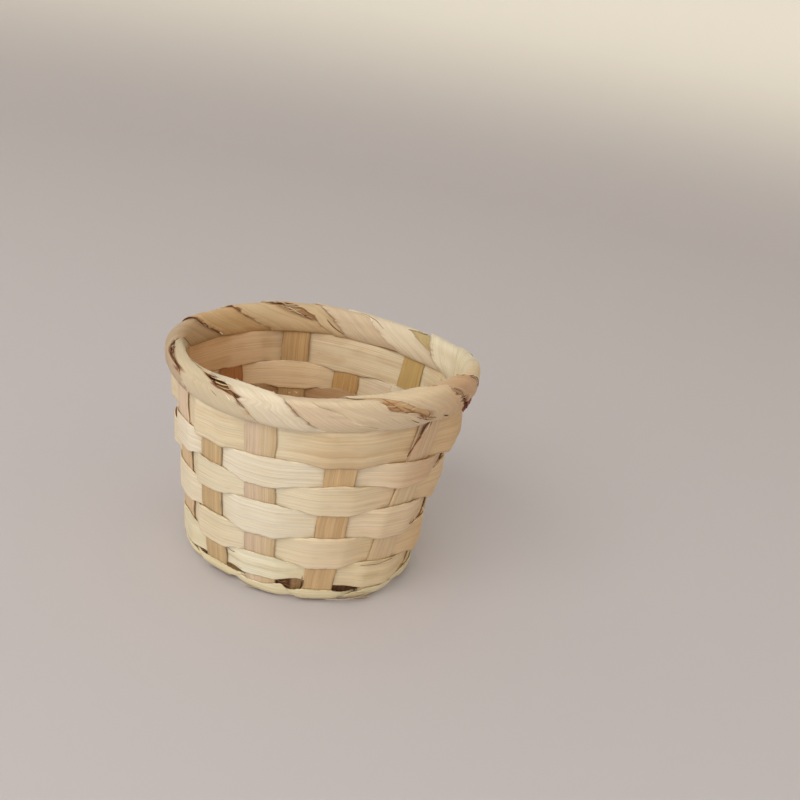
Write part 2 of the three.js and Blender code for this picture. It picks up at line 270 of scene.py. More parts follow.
def ribbon(mid, half, a, outward, seed, tint, fibre_y=None):
    """Closed strip round a grid of middle points (stations x places across).
    half: half the thickness, outward: which side is the outer face, tint: colours (stations, across, 3)
    as a pair for the outer and the inner face. Returns verts, faces and fields."""
    n, m = mid.shape[:2]
    along = np.gradient(mid, axis=0)
    side = np.gradient(mid, axis=1)
    normal = np.cross(along, side)
    normal /= np.maximum(np.linalg.norm(normal, axis=-1, keepdims=True), 1e-9)
    if (normal * outward).sum() < 0:
        normal = -normal
    edge = np.minimum(a + 0.5, 0.5 - a)[None, :]
    step = (0.5 - np.abs(a))
    thin = np.where(step < 1e-6, 0.42, np.where(step < 0.03, 0.88, 1.0))[None, :]
    half = np.broadcast_to(half, (n, m)) * thin
    top = mid + normal * half[..., None]
    low = mid - normal * half[..., None]
    length = np.concatenate([[np.zeros(m)], np.cumsum(np.linalg.norm(np.diff(mid, axis=0), axis=-1), 0)])
    width = np.concatenate([[np.zeros(n)], np.cumsum(np.linalg.norm(np.diff(mid, axis=1), axis=-1), 1).T]).T
    width = width - width[:, -1:] / 2
    y = width if fibre_y is None else np.broadcast_to(fibre_y, (n, m))
    mean_length = np.broadcast_to(length.mean(1, keepdims=True), (n, m))
    verts = np.concatenate([top, low[:, ::-1]], 1).reshape(-1, 3)
    fib = np.stack([mean_length, y, np.full((n, m), float(seed))], -1)
    fib2 = fib.copy()
    fib2[..., 2] += 0.37
    fields = {
        "fib": np.concatenate([fib, fib2[:, ::-1]], 1).reshape(-1, 3),
        "tint": np.concatenate([tint[0], tint[1][:, ::-1]], 1).reshape(-1, 3),
        "edge": np.concatenate([np.broadcast_to(edge * 1.0, (n, m)), np.broadcast_to(edge * 1.0, (n, m))[:, ::-1]], 1).ravel(),
    }
    w = 2 * m
    ring = np.arange(n * w).reshape(n, w)
    q = np.stack([ring[:-1], np.roll(ring, -1, 1)[:-1], np.roll(ring, -1, 1)[1:], ring[1:]], -1).reshape(-1, 4)
    caps = []
    for i, flip in ((0, False), (n - 1, True)):
        for j in range(m - 1):
            f = [ring[i, j], ring[i, 2 * m - 1 - j], ring[i, 2 * m - 2 - j], ring[i, j + 1]]
            caps.append(f[::-1] if flip else f)
    faces = np.concatenate([q, np.array(caps)])
    # Turn all faces outwards.
    v = verts
    sample = q[(n // 2) * w + m // 2]
    fn = np.cross(v[sample[1]] - v[sample[0]], v[sample[2]] - v[sample[0]])
    if np.dot(fn, normal[n // 2, m // 2]) < 0:
        faces = faces[:, ::-1]
    return verts, faces, fields


def merged(name, parts):
    """One object from several (verts, faces, fields)."""
    base, vs, fs = 0, [], []
    for v, f, _ in parts:
        vs.append(v)
        fs.append(f + base)
        base += len(v)
    fields = {k: np.concatenate([p[2][k] for p in parts]) for k in parts[0][2]}
    return mesh_object(name, np.concatenate(vs), np.concatenate(fs), fields)


def srgb(*c):
    c = np.array(c, float) / 255
    return np.where(c <= 0.04045, c / 12.92, ((c + 0.055) / 1.055) ** 2.4)


# ------------------------------------------------------------------ colours of the strips
CREAM, PALE, TAN, OLIVE, BROWN, GREEN, PINK = (
    srgb(238, 219, 184), srgb(243, 229, 199), srgb(214, 184, 143), srgb(206, 180, 128), srgb(178, 136, 92),
    srgb(203, 190, 140), srgb(222, 192, 166))


def blend_colour(a, b, f):
    f = np.clip(f, 0, 1)[..., None]
    return a * (1 - f) + b * f


def strip_tint(x, y, seed, base, accent, low, amount=0.5, dark=0.12):
    """Colours along a strip: broad bands that run with the fibres, a few stains, and darker edges.
    x: distance along, y: place across (-0.5 to 0.5)."""
    band = wander(seed, y * 10 + wander(seed + 1, x, 60, 0.3), 3.2, 0.22) + wander(seed + 2, x, 34, 0.22)
    c = blend_colour(np.broadcast_to(base, x.shape + (3,)), accent, amount * (0.5 + band))
    stain = np.clip(wander(seed + 3, x, 26, 0.5) * wander(seed + 4, y * 10 + x * 0.02, 6.0, 1.0) - 0.15, 0, 1)
    c = blend_colour(c, low, 0.30 * stain)
    edge = np.clip((np.abs(y) - 0.42) / 0.08, 0, 1)
    return c * (1 - dark * edge * (0.6 + 0.4 * np.sign(wander(seed + 5, x, 9, 1.0))))[..., None]


# ------------------------------------------------------------------ weavers
# Heights between the rows at these angles, and how far a strip's edge passes the middle of the
# boundary where it lies over a stake.
EDGE_PHI = [-180.0, -120.0, -66.0, -44.0, -20.0, 0.0, 10.0, 25.0, 41.0, 56.0, 73.0, 120.0, 180.0]
EDGES = {
    0: [62.6, 63.4, 64.4, 62.8] + [62.6] * 9,
    1: [49.1, 49.1, 49.3, 49.7, 49.3, 49.2, 49.2, 48.7, 47.1, 46.3, 46.0, 48.8, 49.1],
    2: [40.9, 41.0, 41.4, 40.9, 41.0, 41.1, 41.2, 41.2, 40.9, 41.6, 41.5, 41.0, 40.9],
    3: [33.0, 33.0, 33.1, 33.0, 33.4, 33.3, 33.3, 33.2, 32.4, 31.4, 30.8, 32.6, 33.0],
    4: [23.2, 23.3, 23.4, 22.6, 23.3, 23.4, 23.5, 23.6, 23.3, 23.2, 22.6, 23.1, 23.2],
    5: [13.7, 13.9, 14.9, 13.7, 14.2, 14.2, 14.2, 14.1, 12.9, 12.3, 12.4, 13.5, 13.7],
    6: [5.3, 5.3, 5.2, 5.5, 7.0, 8.1, 6.6, 6.0, 4.8, 4.6, 4.8, 5.2, 5.3],
}
OVER = {0: 0.0, 1: 0.75, 2: 1.25, 3: 0.9, 4: 1.0, 5: 1.15, 6: 0.25}
WEAVE_OUT, WEAVE_IN = 0.58, 0.53


def wrap(phi):
    return (np.asarray(phi) + 180.0) % 360.0 - 180.0


def row_edge(k, phi):
    """Height between row k and row k + 1 at angle phi."""
    base = np.interp(wrap(phi), EDGE_PHI, EDGES[k])
    if k == 0:
        return base
    return base + 0.16 * np.sin(rad(wrap(phi) * 5 + 70 * k)) + 0.10 * np.sin(rad(wrap(phi) * 9 + 130 * k))


def weave_wave(row, z, straight=False):
    """+1 where the row runs outside a stake, -1 where it runs inside, on GRID_PHI."""
    r = float(profile(s_at(z), 0)[0])
    knots, values = [], []
    for turn in (-1, 0, 1, 2):
        for i, (name, _, odd) in enumerate(STAKES):
            a = float(stake_angle(i, z)) + 360 * turn
            half = math.degrees(WIDTHS[name] * 0.5 / r)
            sign = 1.0 if (row % 2 == 1) != bool(odd) else -1.0
            knots += [a - half * 0.98, a + half * 0.98]
            values += [sign, sign]
    order = np.argsort(knots)
    knots, values = np.array(knots)[order], np.array(values)[order]
    j = np.clip(np.searchsorted(knots, GRID_PHI, side="right") - 1, 0, len(knots) - 2)
    t = (GRID_PHI - knots[j]) / (knots[j + 1] - knots[j])
    v = values[j] + (values[j + 1] - values[j]) * (t if straight else smooth(t))
    return rounded(v, 0.5 if straight else 1.1)


def on_grid(table, phi):
    return np.interp(phi, GRID_PHI, table)


ROW_LAP = {1: "E", 2: "P", 3: "Q", 4: "R", 5: "O", 6: "N", 7: "Q", 8: "P"}
ROW_LOOK = {  # base, accent and stain colour of each row
    1: (srgb(226, 203, 165), srgb(235, 216, 182), srgb(203, 166, 121)),
    2: (srgb(238, 223, 197), srgb(230, 211, 179), srgb(216, 189, 149)),
    3: (srgb(236, 220, 190), srgb(228, 209, 174), srgb(210, 183, 142)),
    4: (srgb(240, 225, 198), srgb(231, 212, 179), srgb(214, 188, 146)),
    5: (srgb(235, 216, 184), srgb(227, 208, 172), srgb(206, 177, 135)),
    6: (srgb(238, 225, 195), srgb(229, 214, 174), srgb(212, 187, 144)),
    7: (srgb(234, 223, 188), srgb(226, 212, 170), srgb(200, 174, 128)),
    8: (srgb(238, 228, 194), srgb(229, 216, 175), srgb(204, 180, 134)),
}


def edge_shade(x, y, seed, strength=0.35):
    """Thin darker patches right at a strip's cut edges."""
    rim = np.clip((np.abs(y) - 0.455) / 0.045, 0, 1)
    patch = np.clip(0.45 + wander(seed, x + 40 * np.sign(y), 7, 0.6), 0, 1)
    return (1 - strength * rim * patch)[..., None]


def inside_shade(z):
    """The inner faces are browner towards the bottom of the bowl."""
    f = np.clip((60 - z) / 30, 0, 1)[..., None]
    return 1 - f * np.array([0.10, 0.19, 0.30])


# Where strips bulge loosely outside a stake: row, angle, width in degrees, millimetres.
LOOSE = [(1, -53, 5, 0.9), (3, -53, 5, 0.3), (5, -53, 5, 0.7), (1, -97, 26, 1.3), (3, -97, 24, 1.5), (5, -97, 20, 0.1), (1, 76, 16, 0.5), (2, 45, 18, 0.25), (4, 45, 18, 0.2),
         (2, 105, 16, 0.5), (4, 104, 16, 0.5), (3, 137, 14, 0.4), (1, 196, 14, 0.35), (4, 224, 15, 0.5)]
# How far the lower edge of a strip stands out further than its upper edge.
FLARE = [(-95, 26, 0.45), (84, 24, 0.85), (200, 40, 0.15)]


# Painted light and shade round the outer faces: whiter at the left of the front, where the light falls,
# and browner at the right side, in shade. Then painted light and shade on the inner faces, row by row.
AROUND_PHI = [-180, -140, -100, -45, -20, 0, 12, 30, 50, 68, 100, 130, 180]
AROUND_LIGHT_SHADE = [[1.00, 1.00, 1.00, 0.99, 1.00, 0.99, 0.975, 1.00, 0.97, 0.90, 0.92, 0.96, 1.00],
          [0.97, 1.00, 1.02, 1.04, 1.08, 1.02, 0.97, 0.95, 0.87, 0.76, 0.82, 0.90, 0.97],
          [0.94, 0.99, 1.05, 1.09, 1.17, 1.04, 0.96, 0.90, 0.78, 0.62, 0.72, 0.84, 0.94]]
AROUND_FOOT_LIGHT_SHADE = [[1.0] * 13, [1.0] * 11 + [0.98, 1.0], [1.0] * 11 + [0.96, 1.0]]
INSIDE_PHI = [0, 100, 135, 160, 185, 215, 250, 360]
INSIDE_LIGHT_SHADE = {1: [[1.1, 1.1, 1.10, 1.08, 1.04, 1.09, 1.15, 1.1], [1.1, 1.16, 1.20, 1.14, 1.05, 0.95, 0.92, 1.1],
              [1.1, 1.22, 1.32, 1.24, 1.10, 0.90, 0.80, 1.1]],
          2: [[1.1, 1.1, 1.08, 1.10, 1.18, 1.20, 1.20, 1.1], [1.1, 1.12, 1.15, 1.12, 1.11, 1.08, 1.08, 1.1],
              [1.1, 1.16, 1.22, 1.14, 1.03, 1.00, 1.00, 1.1]],
          3: [[1.0, 1.0, 0.98, 0.82, 0.72, 0.70, 0.76, 1.0], [0.9, 0.9, 0.90, 0.68, 0.54, 0.52, 0.60, 0.9],
              [0.8, 0.8, 0.84, 0.58, 0.43, 0.41, 0.48, 0.8]]}


def weaver(name, row):
    first = INDEX[ROW_LAP[row]]
    foot = row >= 7
    zmid = 3.0 if foot else (row_edge(row, 0) + row_edge(row - 1, 0)) / 2
    start = float(stake_angle(first, zmid))
    r = float(profile(s_at(zmid) if not foot else 2.5, 0)[0])
    lap = math.degrees((STAKE_W / 2 + 1.2) / r)
    wave, ramp = weave_wave(row, zmid), weave_wave(row, zmid, True)
    n = int((360 + 2 * lap) * r * math.pi / 180 / 0.7)
    phi = np.linspace(start - lap, start + 360 + lap, n)
    a = across(13 if foot else 17)
    w, v = on_grid(wave, phi), on_grid(ramp, phi)
    seed = 1000 + row * 17
    x = rad(phi - phi[0]) * r
    near = np.abs(v)
    over = np.clip((near - 0.18) / 0.82, 0, 1)
    if row == 7:
        s_low = 3.1 - 0.9 * smooth((v - 0.3) / 0.7)
        s_top = 5.3 + 0.75 * smooth((v - 0.1) / 0.9) - 0.7 * hump(rad(phi), 24, 8) - 0.4 * hump(rad(phi), -4.5, 7)
    elif row == 8:
        s_low = 1.3 + 0.1 * smooth((v - 0.3) / 0.7)
        s_top = 2.9 + 2.3 * smooth((v + 0.2) / 0.9) + 1.6 * hump(rad(phi), -8, 6) - 0.5 * hump(rad(phi), 26, 5)
    else:
        s_low = s_at(row_edge(row, phi)) - (OVER[row] * over - 0.02)
        s_top = s_at(row_edge(row - 1, phi)) + (OVER[row - 1] * over - 0.02)
    fray = 0.09 if foot else 0.05
    calm = 1.0 if foot else 0.25 + 0.75 * over
    s_low = s_low + calm * (wander(seed + 7, x, 1.9, fray) + wander(seed + 8, x, 11, 0.09))
    s_top = s_top + calm * (wander(seed + 9, x, 2.1, fray) + wander(seed + 10, x, 12, 0.09))
    s = s_low[:, None] + (s_top - s_low)[:, None] * (a + 0.5)[None, :]
    up = (a + 0.5)[None, :]
    W = w[:, None]
    out = (1 + W) / 2
    if row == 7:
        d = 0.44 * W + 0 * s
    elif row == 8:
        d = 0.62 * W + 0.16 * np.maximum(W, 0) * smooth((s - 2.6) / 1.5)
    else:
        tilt_out, tilt_in = 0.24, 0.24
        for at, wide, mm in FLARE:
            tilt_out = tilt_out + mm * hump(rad(phi), at, wide)[:, None]
        d = np.where(W > 0, WEAVE_OUT, WEAVE_IN) * W + tilt_out * (1 - up) * out - tilt_in * up * (1 - out)
        for which, at, wide, mm in LOOSE:
            if which == row:
                tuck = smooth((s_at(62) - s) / 6) if row == 1 else 1.0
                d = d + mm * (hump(rad(phi), at, wide))[:, None] * smooth((W + 0.2) / 1.2) * tuck
        # The strip is a little domed between its edges where it is free.
        d = d + 0.06 * np.sin(np.pi * up) * out
    z = profile(s, 0)[1]
    d = d + facet(phi[:, None], z) * (0.35 if foot else 1.0)
    # The two ends lie one over the other behind a stake.
    d = d - 0.56 * (1 - smooth((phi[-1] - phi) / (2.6 * lap)))[:, None]
    d = d + wander(seed + 11, x, 16, 0.05)[:, None] + wander(seed + 12, x, 5, 0.018)[:, None] * np.sin(np.pi * up)
    ridges = wander(seed + 13, a * 10, 0.9, 0.018)[None, :] * (0.7 + 0.3 * np.sin(x / 19.0))[:, None]
    mid = place(phi[:, None], s, d + ridges)
    outward = place(phi[:, None], s, d + 1) - mid
    y = np.broadcast_to(a[None, :], s.shape)
    X = np.broadcast_to(x[:, None], s.shape)
    base, accent, low = ROW_LOOK[row]
    c_out = strip_tint(X, y, seed + 20, base, accent, low, 0.75, 0.03) * edge_shade(X, y, seed + 31, 0.20)
    c_in = strip_tint(X, y, seed + 40, base * 0.97, accent * 0.95, low * 0.95, 0.75, 0.05) * edge_shade(X, y, seed + 32, 0.28)
    # Painted highlight: the upper edge is a little paler, where it faces up into the light.
    edge_highlight = smooth((y - 0.45) / 0.04) * np.clip(0.5 + wander(seed + 33, x, 9, 0.5), 0, 1)[:, None]
    c_out = c_out * (1 + 0.10 * edge_highlight)[..., None]
    c_in = c_in * inside_shade(z)
    # Painted light and shade round the wall: lighter where the light falls, browner on the shaded right side.
    around_light_shade = np.stack([np.interp(wrap(phi), AROUND_PHI, v) for v in (AROUND_FOOT_LIGHT_SHADE if foot else AROUND_LIGHT_SHADE)], -1)[:, None, :]
    c_out = c_out * around_light_shade
    if row == 2:
        c_out = c_out * (1 - hump(rad(phi), 46, 13)[:, None, None] * np.array([0.13, 0.21, 0.25]))
    if row == 3:
        c_out = c_out * (1 - hump(rad(phi), 34, 11)[:, None, None] * np.array([0.04, 0.08, 0.11]))
        c_out = c_out * (1 - hump(rad(phi), -45, 14)[:, None, None] * np.array([0.05, 0.05, 0.07]))
    # Painted light and shade on the inner faces, by row and angle: lighter where the light falls at the back right,
    # browner in shade at the left; the third row darker and browner.
    if row in INSIDE_LIGHT_SHADE:
        c_in = c_in * np.stack([np.interp(phi % 360, INSIDE_PHI, v) for v in INSIDE_LIGHT_SHADE[row]], -1)[:, None, :]
    if row == 1:
        # Brown streaks in the lower half of the front of the top row.
        f = np.exp(-(np.clip(np.abs(wrap(phi - 18)) - 18, 0, None) / 12) ** 2)[:, None]
        streak = np.clip(0.45 + wander(seed + 51, a * 13, 4.0, 0.35)[None, :] + wander(seed + 52, x, 40, 0.12)[:, None], 0, 1)
        c_out = blend_colour(c_out, srgb(192, 156, 112), 0.62 * f * streak * smooth((58.5 - z) / 9))
    half = (0.20 if foot else 0.24) + 0.0 * s
    level = 4.0 if foot else s_at((np.interp(wrap(phi), EDGE_PHI, EDGES[row]) + np.interp(wrap(phi), EDGE_PHI, EDGES[row - 1])) / 2)
    return ribbon(mid, half, a, outward, seed, (c_out, c_in), s - np.reshape(level, (-1, 1)) if not foot else s - level)


# ------------------------------------------------------------------ base strips, whose ends are the stakes
STAKE_LOOK = {  # outside colour, accent and streak of the two ends, front end first
    "stake_strip_left": (srgb(197, 169, 127), srgb(206, 180, 138), srgb(172, 138, 94)),
    "stake_strip_centre": (srgb(221, 200, 168), srgb(208, 184, 148), srgb(188, 152, 116)),
    "stake_strip_right": (srgb(208, 174, 130), srgb(218, 188, 144), srgb(183, 144, 97)),
    "stake_strip_front": (srgb(216, 186, 146), srgb(226, 200, 160), srgb(190, 154, 112)),
    "stake_strip_middle": (srgb(216, 190, 148), srgb(226, 202, 160), srgb(188, 156, 110)),
    "stake_strip_back": (srgb(206, 172, 124), srgb(218, 188, 142), srgb(178, 140, 94)),
}
ROW_MID = [55.5, 45.2, 37.2, 28.3, 18.8, 9.6]
STAKE_WEAVE = 0.13


def stake_strip(name, one, other, axis, middle, below):
    i1, i2 = INDEX[one], INDEX[other]
    seed = 3000 + 31 * len(name) + i1
    top = s_at(RIM_Z + 3.2)

    def wall(i):
        odd = STAKES[i][2]
        foot = (1 if odd else -1) * 0.28
        s = np.concatenate([np.arange(0.15, 6.0, 0.4), np.arange(6.2, top, 0.9)])
        knots = [0.0, 1.4, 2.6, 3.6, 4.5, 5.5, 6.6]
        vals = [0, 0, 0, foot * 0.8, foot, foot * 0.6, foot * 0.3]
        for k in range(5, -1, -1):
            side = 1 if (k % 2 == 0) == bool(odd) else -1
            knots.append(s_at(ROW_MID[k]))
            vals.append(side * STAKE_WEAVE)
        knots += [s_at(62.0), top]
        vals += [0, 0]
        order = np.argsort(knots)
        d = pchip(np.array(knots)[order], np.array(vals)[order], s)
        z = profile(s, 0)[1]
        phi = stake_angle(i, z)
        return s, phi, d

    foot1 = float(stake_angle(i1, 1.0))
    foot2 = float(stake_angle(i2, 1.0))

    def end(foot_deg, sign):
        t = math.radians(foot_deg - axis)
        return CORNER_START * math.sin(t), -CORNER_START * math.cos(t)

    (x1, y1), (x2, y2) = end(foot1, 1), end(foot2, -1)

    def centre(y):
        y0 = PLAIT_PITCH + STAKE_W / 2 + 0.4
        out = np.full_like(y, float(middle))
        for ex, ey in ((x1, y1), (x2, y2)):
            L = abs(ey) - y0
            q = np.clip((np.abs(y) - y0) / L, 0, 1)
            on = np.sign(y) == np.sign(ey)
            h = q * q * (3 - 2 * q)
            k = (q ** 3 - q ** 2) * L
            out = np.where(on, middle + (ex - middle) * h + (ex / abs(ey)) * k, out)
        return out

    y = np.arange(y1, y2, 0.9)
    y = np.linspace(y1, y2, len(y))
    xc = centre(y)
    half_w = STAKE_W / 2 + 0.4
    ky, kv = [y1, y1 + 2.0], [0.0, 0.0]
    for j, bl in zip((-1, 0, 1), below):
        ky += [j * PLAIT_PITCH - half_w, j * PLAIT_PITCH + half_w]
        kv += [bl * BASE_LIFT] * 2
    ky += [y2 - 2.0, y2]
    kv += [0.0, 0.0]
    dbase = pchip(ky, kv, y)
    a = across(15)
    ca, sa = math.cos(math.radians(axis)), math.sin(math.radians(axis))

    rows, outs, xs = [], [], []
    s1, p1, d1 = wall(i1)
    W1, W2 = WIDTHS[one], WIDTHS[other]

    def wall_rows(s, p, d, width, sign, sd):
        r, z = profile(s, 0)
        edge_l = wander(sd, s, 2.6, 0.035) + wander(sd + 1, s, 14, 0.12)
        edge_r = wander(sd + 2, s, 2.4, 0.035) + wander(sd + 3, s, 15, 0.12)
        off = a[None, :] * width + np.where(a < 0, 1, 0)[None, :] * edge_l[:, None] * (-2 * a)[None, :] \
            + np.where(a >= 0, 1, 0)[None, :] * edge_r[:, None] * (2 * a)[None, :]
        phi = p[:, None] + sign * np.degrees(off / r[:, None])
        S = np.broadcast_to(s[:, None], phi.shape)
        D = d[:, None] + facet(phi, profile(S, 0)[1]) * smooth((z[:, None] - 2) / 8)
        D = D + wander(sd + 5, a * 9.5, 1.0, 0.022)[None, :] * smooth((z[:, None] - 1) / 6)
        P = place(phi, S, D)
        O = place(phi, S, D + 1) - P
        return P, O

    P, O = wall_rows(s1[::-1], p1[::-1], d1[::-1], W1, 1, seed)
    rows.append(P)
    outs.append(O)
    # Base stations.
    dx = np.gradient(xc, y)
    ln = np.hypot(dx, 1.0)
    wid = W1 + (W2 - W1) * smooth((y - y1) / (y2 - y1))
    off = a[None, :] * wid[:, None]
    bx = xc[:, None] + off / ln[:, None]
    by = y[:, None] - off * (dx / ln)[:, None]
    gx, gy = bx * ca - by * sa, bx * sa + by * ca
    bz = BASE_MID - dbase[:, None] + 0 * bx
    Pb = uneven(gx, gy, bz)
    rows.append(Pb)
    outs.append(np.broadcast_to(np.array([0, 0, -1.0]), Pb.shape))
    s2, p2, d2 = wall(i2)
    P, O = wall_rows(s2, p2, d2, W2, -1, seed + 9)
    rows.append(P)
    outs.append(O)
    mid = np.concatenate(rows)
    outward = np.concatenate(outs)
    x = np.concatenate([[0], np.cumsum(np.linalg.norm(np.diff(mid[:, len(a) // 2], axis=0), axis=-1))])
    X = np.broadcast_to(x[:, None], mid.shape[:2])
    Y = np.broadcast_to(a[None, :], mid.shape[:2])
    base, accent, low = STAKE_LOOK[name]
    c = strip_tint(X, Y, seed + 60, base, accent, low, 0.8, 0.14) * edge_shade(X, Y, seed + 63, 0.3)
    # Fine streaks that run the whole length.
    streak = np.clip(wander(seed + 71, a * 9.5, 0.9, 0.5), -1, 1)[None, :]
    c = c * (1 + 0.09 * streak)[..., None]
    if name == "stake_strip_centre":
        pink = np.clip(0.3 - 2.4 * a + wander(77, a * 9.5, 1.6, 0.5), 0, 1)[None, :] * smooth(1 - (X - 70) / 20)
        c = blend_colour(c, srgb(216, 192, 176), 0.5 * pink)
        olive = np.clip(2.6 * a - 0.2 + wander(78, a * 9.5, 1.4, 0.5), 0, 1)[None, :] * smooth(1 - (X - 70) / 20)
        c = blend_colour(c, srgb(204, 178, 134), 0.6 * olive)
    if name == "stake_strip_right":
        c = blend_colour(c, srgb(196, 172, 112), 0.75 * smooth((X - x[-1] + 75) / 10))
    if name == "stake_strip_front":
        c = blend_colour(c, srgb(214, 182, 150), 0.6 * smooth(1 - (X - 24) / 6))
        c = blend_colour(c, srgb(228, 206, 182), 0.8 * smooth((X - x[-1] + 26) / 6))
        c = blend_colour(c, srgb(226, 202, 166), 0.6 * smooth(1 - (X - 70) / 20) * smooth((X - 24) / 6))
    # The inner faces of the back ends are browner.
    dim = {"stake_strip_left": (0.0, 0.12, 0.22), "stake_strip_centre": (0.15, 0.34, 0.60),
           "stake_strip_back": (0.26, 0.56, 0.70)}.get(name, (0.12, 0.24, 0.36))
    ci = c * (1 - smooth((X - x[-1] + 85) / 20)[..., None] * np.array(dim))
    if name == "stake_strip_right":
        ci = blend_colour(ci, srgb(200, 171, 113), 0.9 * smooth((X - x[-1] + 75) / 10))
    return ribbon(mid, np.full(mid.shape[:2], 0.27), a, outward, seed, (c, ci))


# ------------------------------------------------------------------ rim
S_RIM = s_at(RIM_Z)
R_RIM = float(profile(S_RIM, 0)[0])
RIM_A, RIM_B, RIM_N = 2.55, 4.55, 2.8


def rim_section(theta, a=RIM_A, b=RIM_B, n=RIM_N):
    """Offset outwards and height of the rounded section round the hoops. theta: -90 below, 0 outside, 90 on top."""
    t = rad(np.asarray(theta, float))
    c, s = np.cos(t), np.sin(t)
    n = np.where(s < 0, 2.3, n)
    b = np.where(s < 0, b + 0.35, b)
    k = (np.abs(c) ** n + np.abs(s) ** n) ** (-1 / n)
    return a * k * c, b * k * s


def squeeze(phi, h):
    """Height h over the rim's middle, with the rim narrowed from below at its left end."""
    k = 1 - 0.27 * hump(rad(phi), -84, 26) + 0.24 * hump(rad(phi), 79, 18)
    return h * k + RIM_B * (1 - k)


def hoop(name, side, start, seed, base):
    lap = 24.0
    n = 420
    t = np.linspace(0, 360 + lap, n)
    phi = start + t
    a = across(11)
    head = np.clip(t / lap, 0, 1)
    tail = np.clip((360 + lap - t) / lap, 0, 1)
    T = 1.15
    lo = np.where(t > 360, T / 2 - 0.12 - (T - 0.75) * tail, -T / 2)
    hi = np.where(t < lap, -T / 2 + 0.12 + (T - 0.75) * head, T / 2)
    hi = np.where(head >= 1, T / 2, hi)
    lo = np.where(tail >= 1, -T / 2, lo)
    x = rad(t) * R_RIM
    mid_d = side * 1.2 + (lo + hi) / 2
    half = (hi - lo) / 2
    h = a[None, :] * (6.6 + wander(seed, x, 30, 0.2))[:, None] + wander(seed + 1, x, 40, 0.15)[:, None]
    h = squeeze(phi[:, None], h)
    mid = place(phi[:, None], S_RIM + h, mid_d[:, None] + 0 * h)
    outward = place(phi[:, None], S_RIM + h, mid_d[:, None] + 1 + 0 * h) - mid
    X = np.broadcast_to(x[:, None], h.shape)
    Y = np.broadcast_to(a[None, :], h.shape)
    c = strip_tint(X, Y, seed + 5, base, base * 1.1, srgb(150, 112, 70), 0.7, 0.2)
    # A greenish stretch of skin shows in one gap at the back.
    green = np.exp(-((wrap(phi - 134)) / 16) ** 2)[:, None] * np.ones_like(h)
    c = blend_colour(c, srgb(198, 178, 130), 0.85 * green)
    for at, width, colour in ((-40, 10, srgb(104, 52, 28)), (60, 7, srgb(120, 50, 34)), (23, 8, srgb(170, 118, 76)),
                              (-73, 7, srgb(120, 80, 48))):
        f = np.exp(-((wrap(phi - at)) / width) ** 4)[:, None] * np.ones_like(h)
        c = blend_colour(c, colour, 0.85 * f)
    return ribbon(mid, half[:, None] + 0 * h, a, outward, seed, (c, c * 0.95))


# Turns of the binding. Each line between two turns is a list of (theta, phi): it starts below
# the rim outside, goes over the top, and ends below the rim inside. A turn's far edge (larger
# phi) lies over the next turn's near edge.
SLOPE = [(-75, 15.5), (-55, 13.5), (-30, 9.5), (0, 5.5), (30, 3.0), (60, 1.2), (90, 0.0), (120, -1.6), (150, -5.0),
         (185, -11.0), (225, -18.5), (260, -23.0)]


def line(top, points=()):
    """A line through the given points, and elsewhere parallel to the usual slope."""
    pts = sorted(points)
    th = np.array([t for t, _ in SLOPE], float)
    base = np.array([v for _, v in SLOPE], float)
    if not pts:
        return [(float(t), top + float(v)) for t, v in zip(th, base)]
    pt = np.array([p[0] for p in pts], float)
    diff = np.array([p[1] for p in pts], float) - np.interp(pt, th, base)
    grid = np.unique(np.concatenate([th, pt]))
    out = np.interp(grid, th, base) + np.interp(grid, pt, diff)
    return [(float(t), float(v)) for t, v in zip(grid, out)]


LINES = [
    line(-84, [(-42, -53), (-20, -54.5), (10, -57), (32, -59.5), (42, -64), (48, -70), (80, -81), (150, -92)]),
    line(-52, [(-55, -19.5), (-30, -22), (-5, -24.5), (30, -29.5), (40, -35), (62, -41.5), (80, -48.5), (108, -59.5), (138, -74)]),
    line(-21, [(-58, 2.5), (-48, 0.5), (-15, -4), (12, -7.5), (35, -10), (55, -12.5), (78, -16.5), (98, -25), (125, -34)]),
    line(-6, [(-55, 20), (-20, 11), (0, 8), (30, 2.5), (38, -1), (60, -4), (90, -8)]),
    line(15, [(-52, 40), (-18, 34), (0, 29.5), (8, 24.5), (25, 20), (55, 17), (95, 12)]),
    line(41, [(-55, 61), (-32, 59), (2, 55), (24, 50.5), (48, 45.6), (72, 43), (95, 36)]),
    line(57, [(-40, 80), (0, 72), (42, 64.5), (85, 57)]),
    line(85),
    line(111, [(90, 111), (135, 103.5), (155, 99.5), (225, 86)]),
    line(133, [(75, 131.5), (142, 127), (190, 124), (225, 116.5)]),
    line(165, [(90, 172), (132, 161), (198, 152), (235, 144.5)]),
    line(185, [(82, 185), (168, 178), (232, 171)]),
    line(204, [(90, 207), (132, 200.5), (152, 197), (165, 192.5), (185, 186.5)]),
    line(225, [(78, 225.5), (120, 223.5), (152, 220.5), (162, 218.5), (198, 211.5), (250, 203)]),
    line(247.5, [(90, 247.5), (142, 245.5), (185, 238.5), (225, 230.5)]),
]
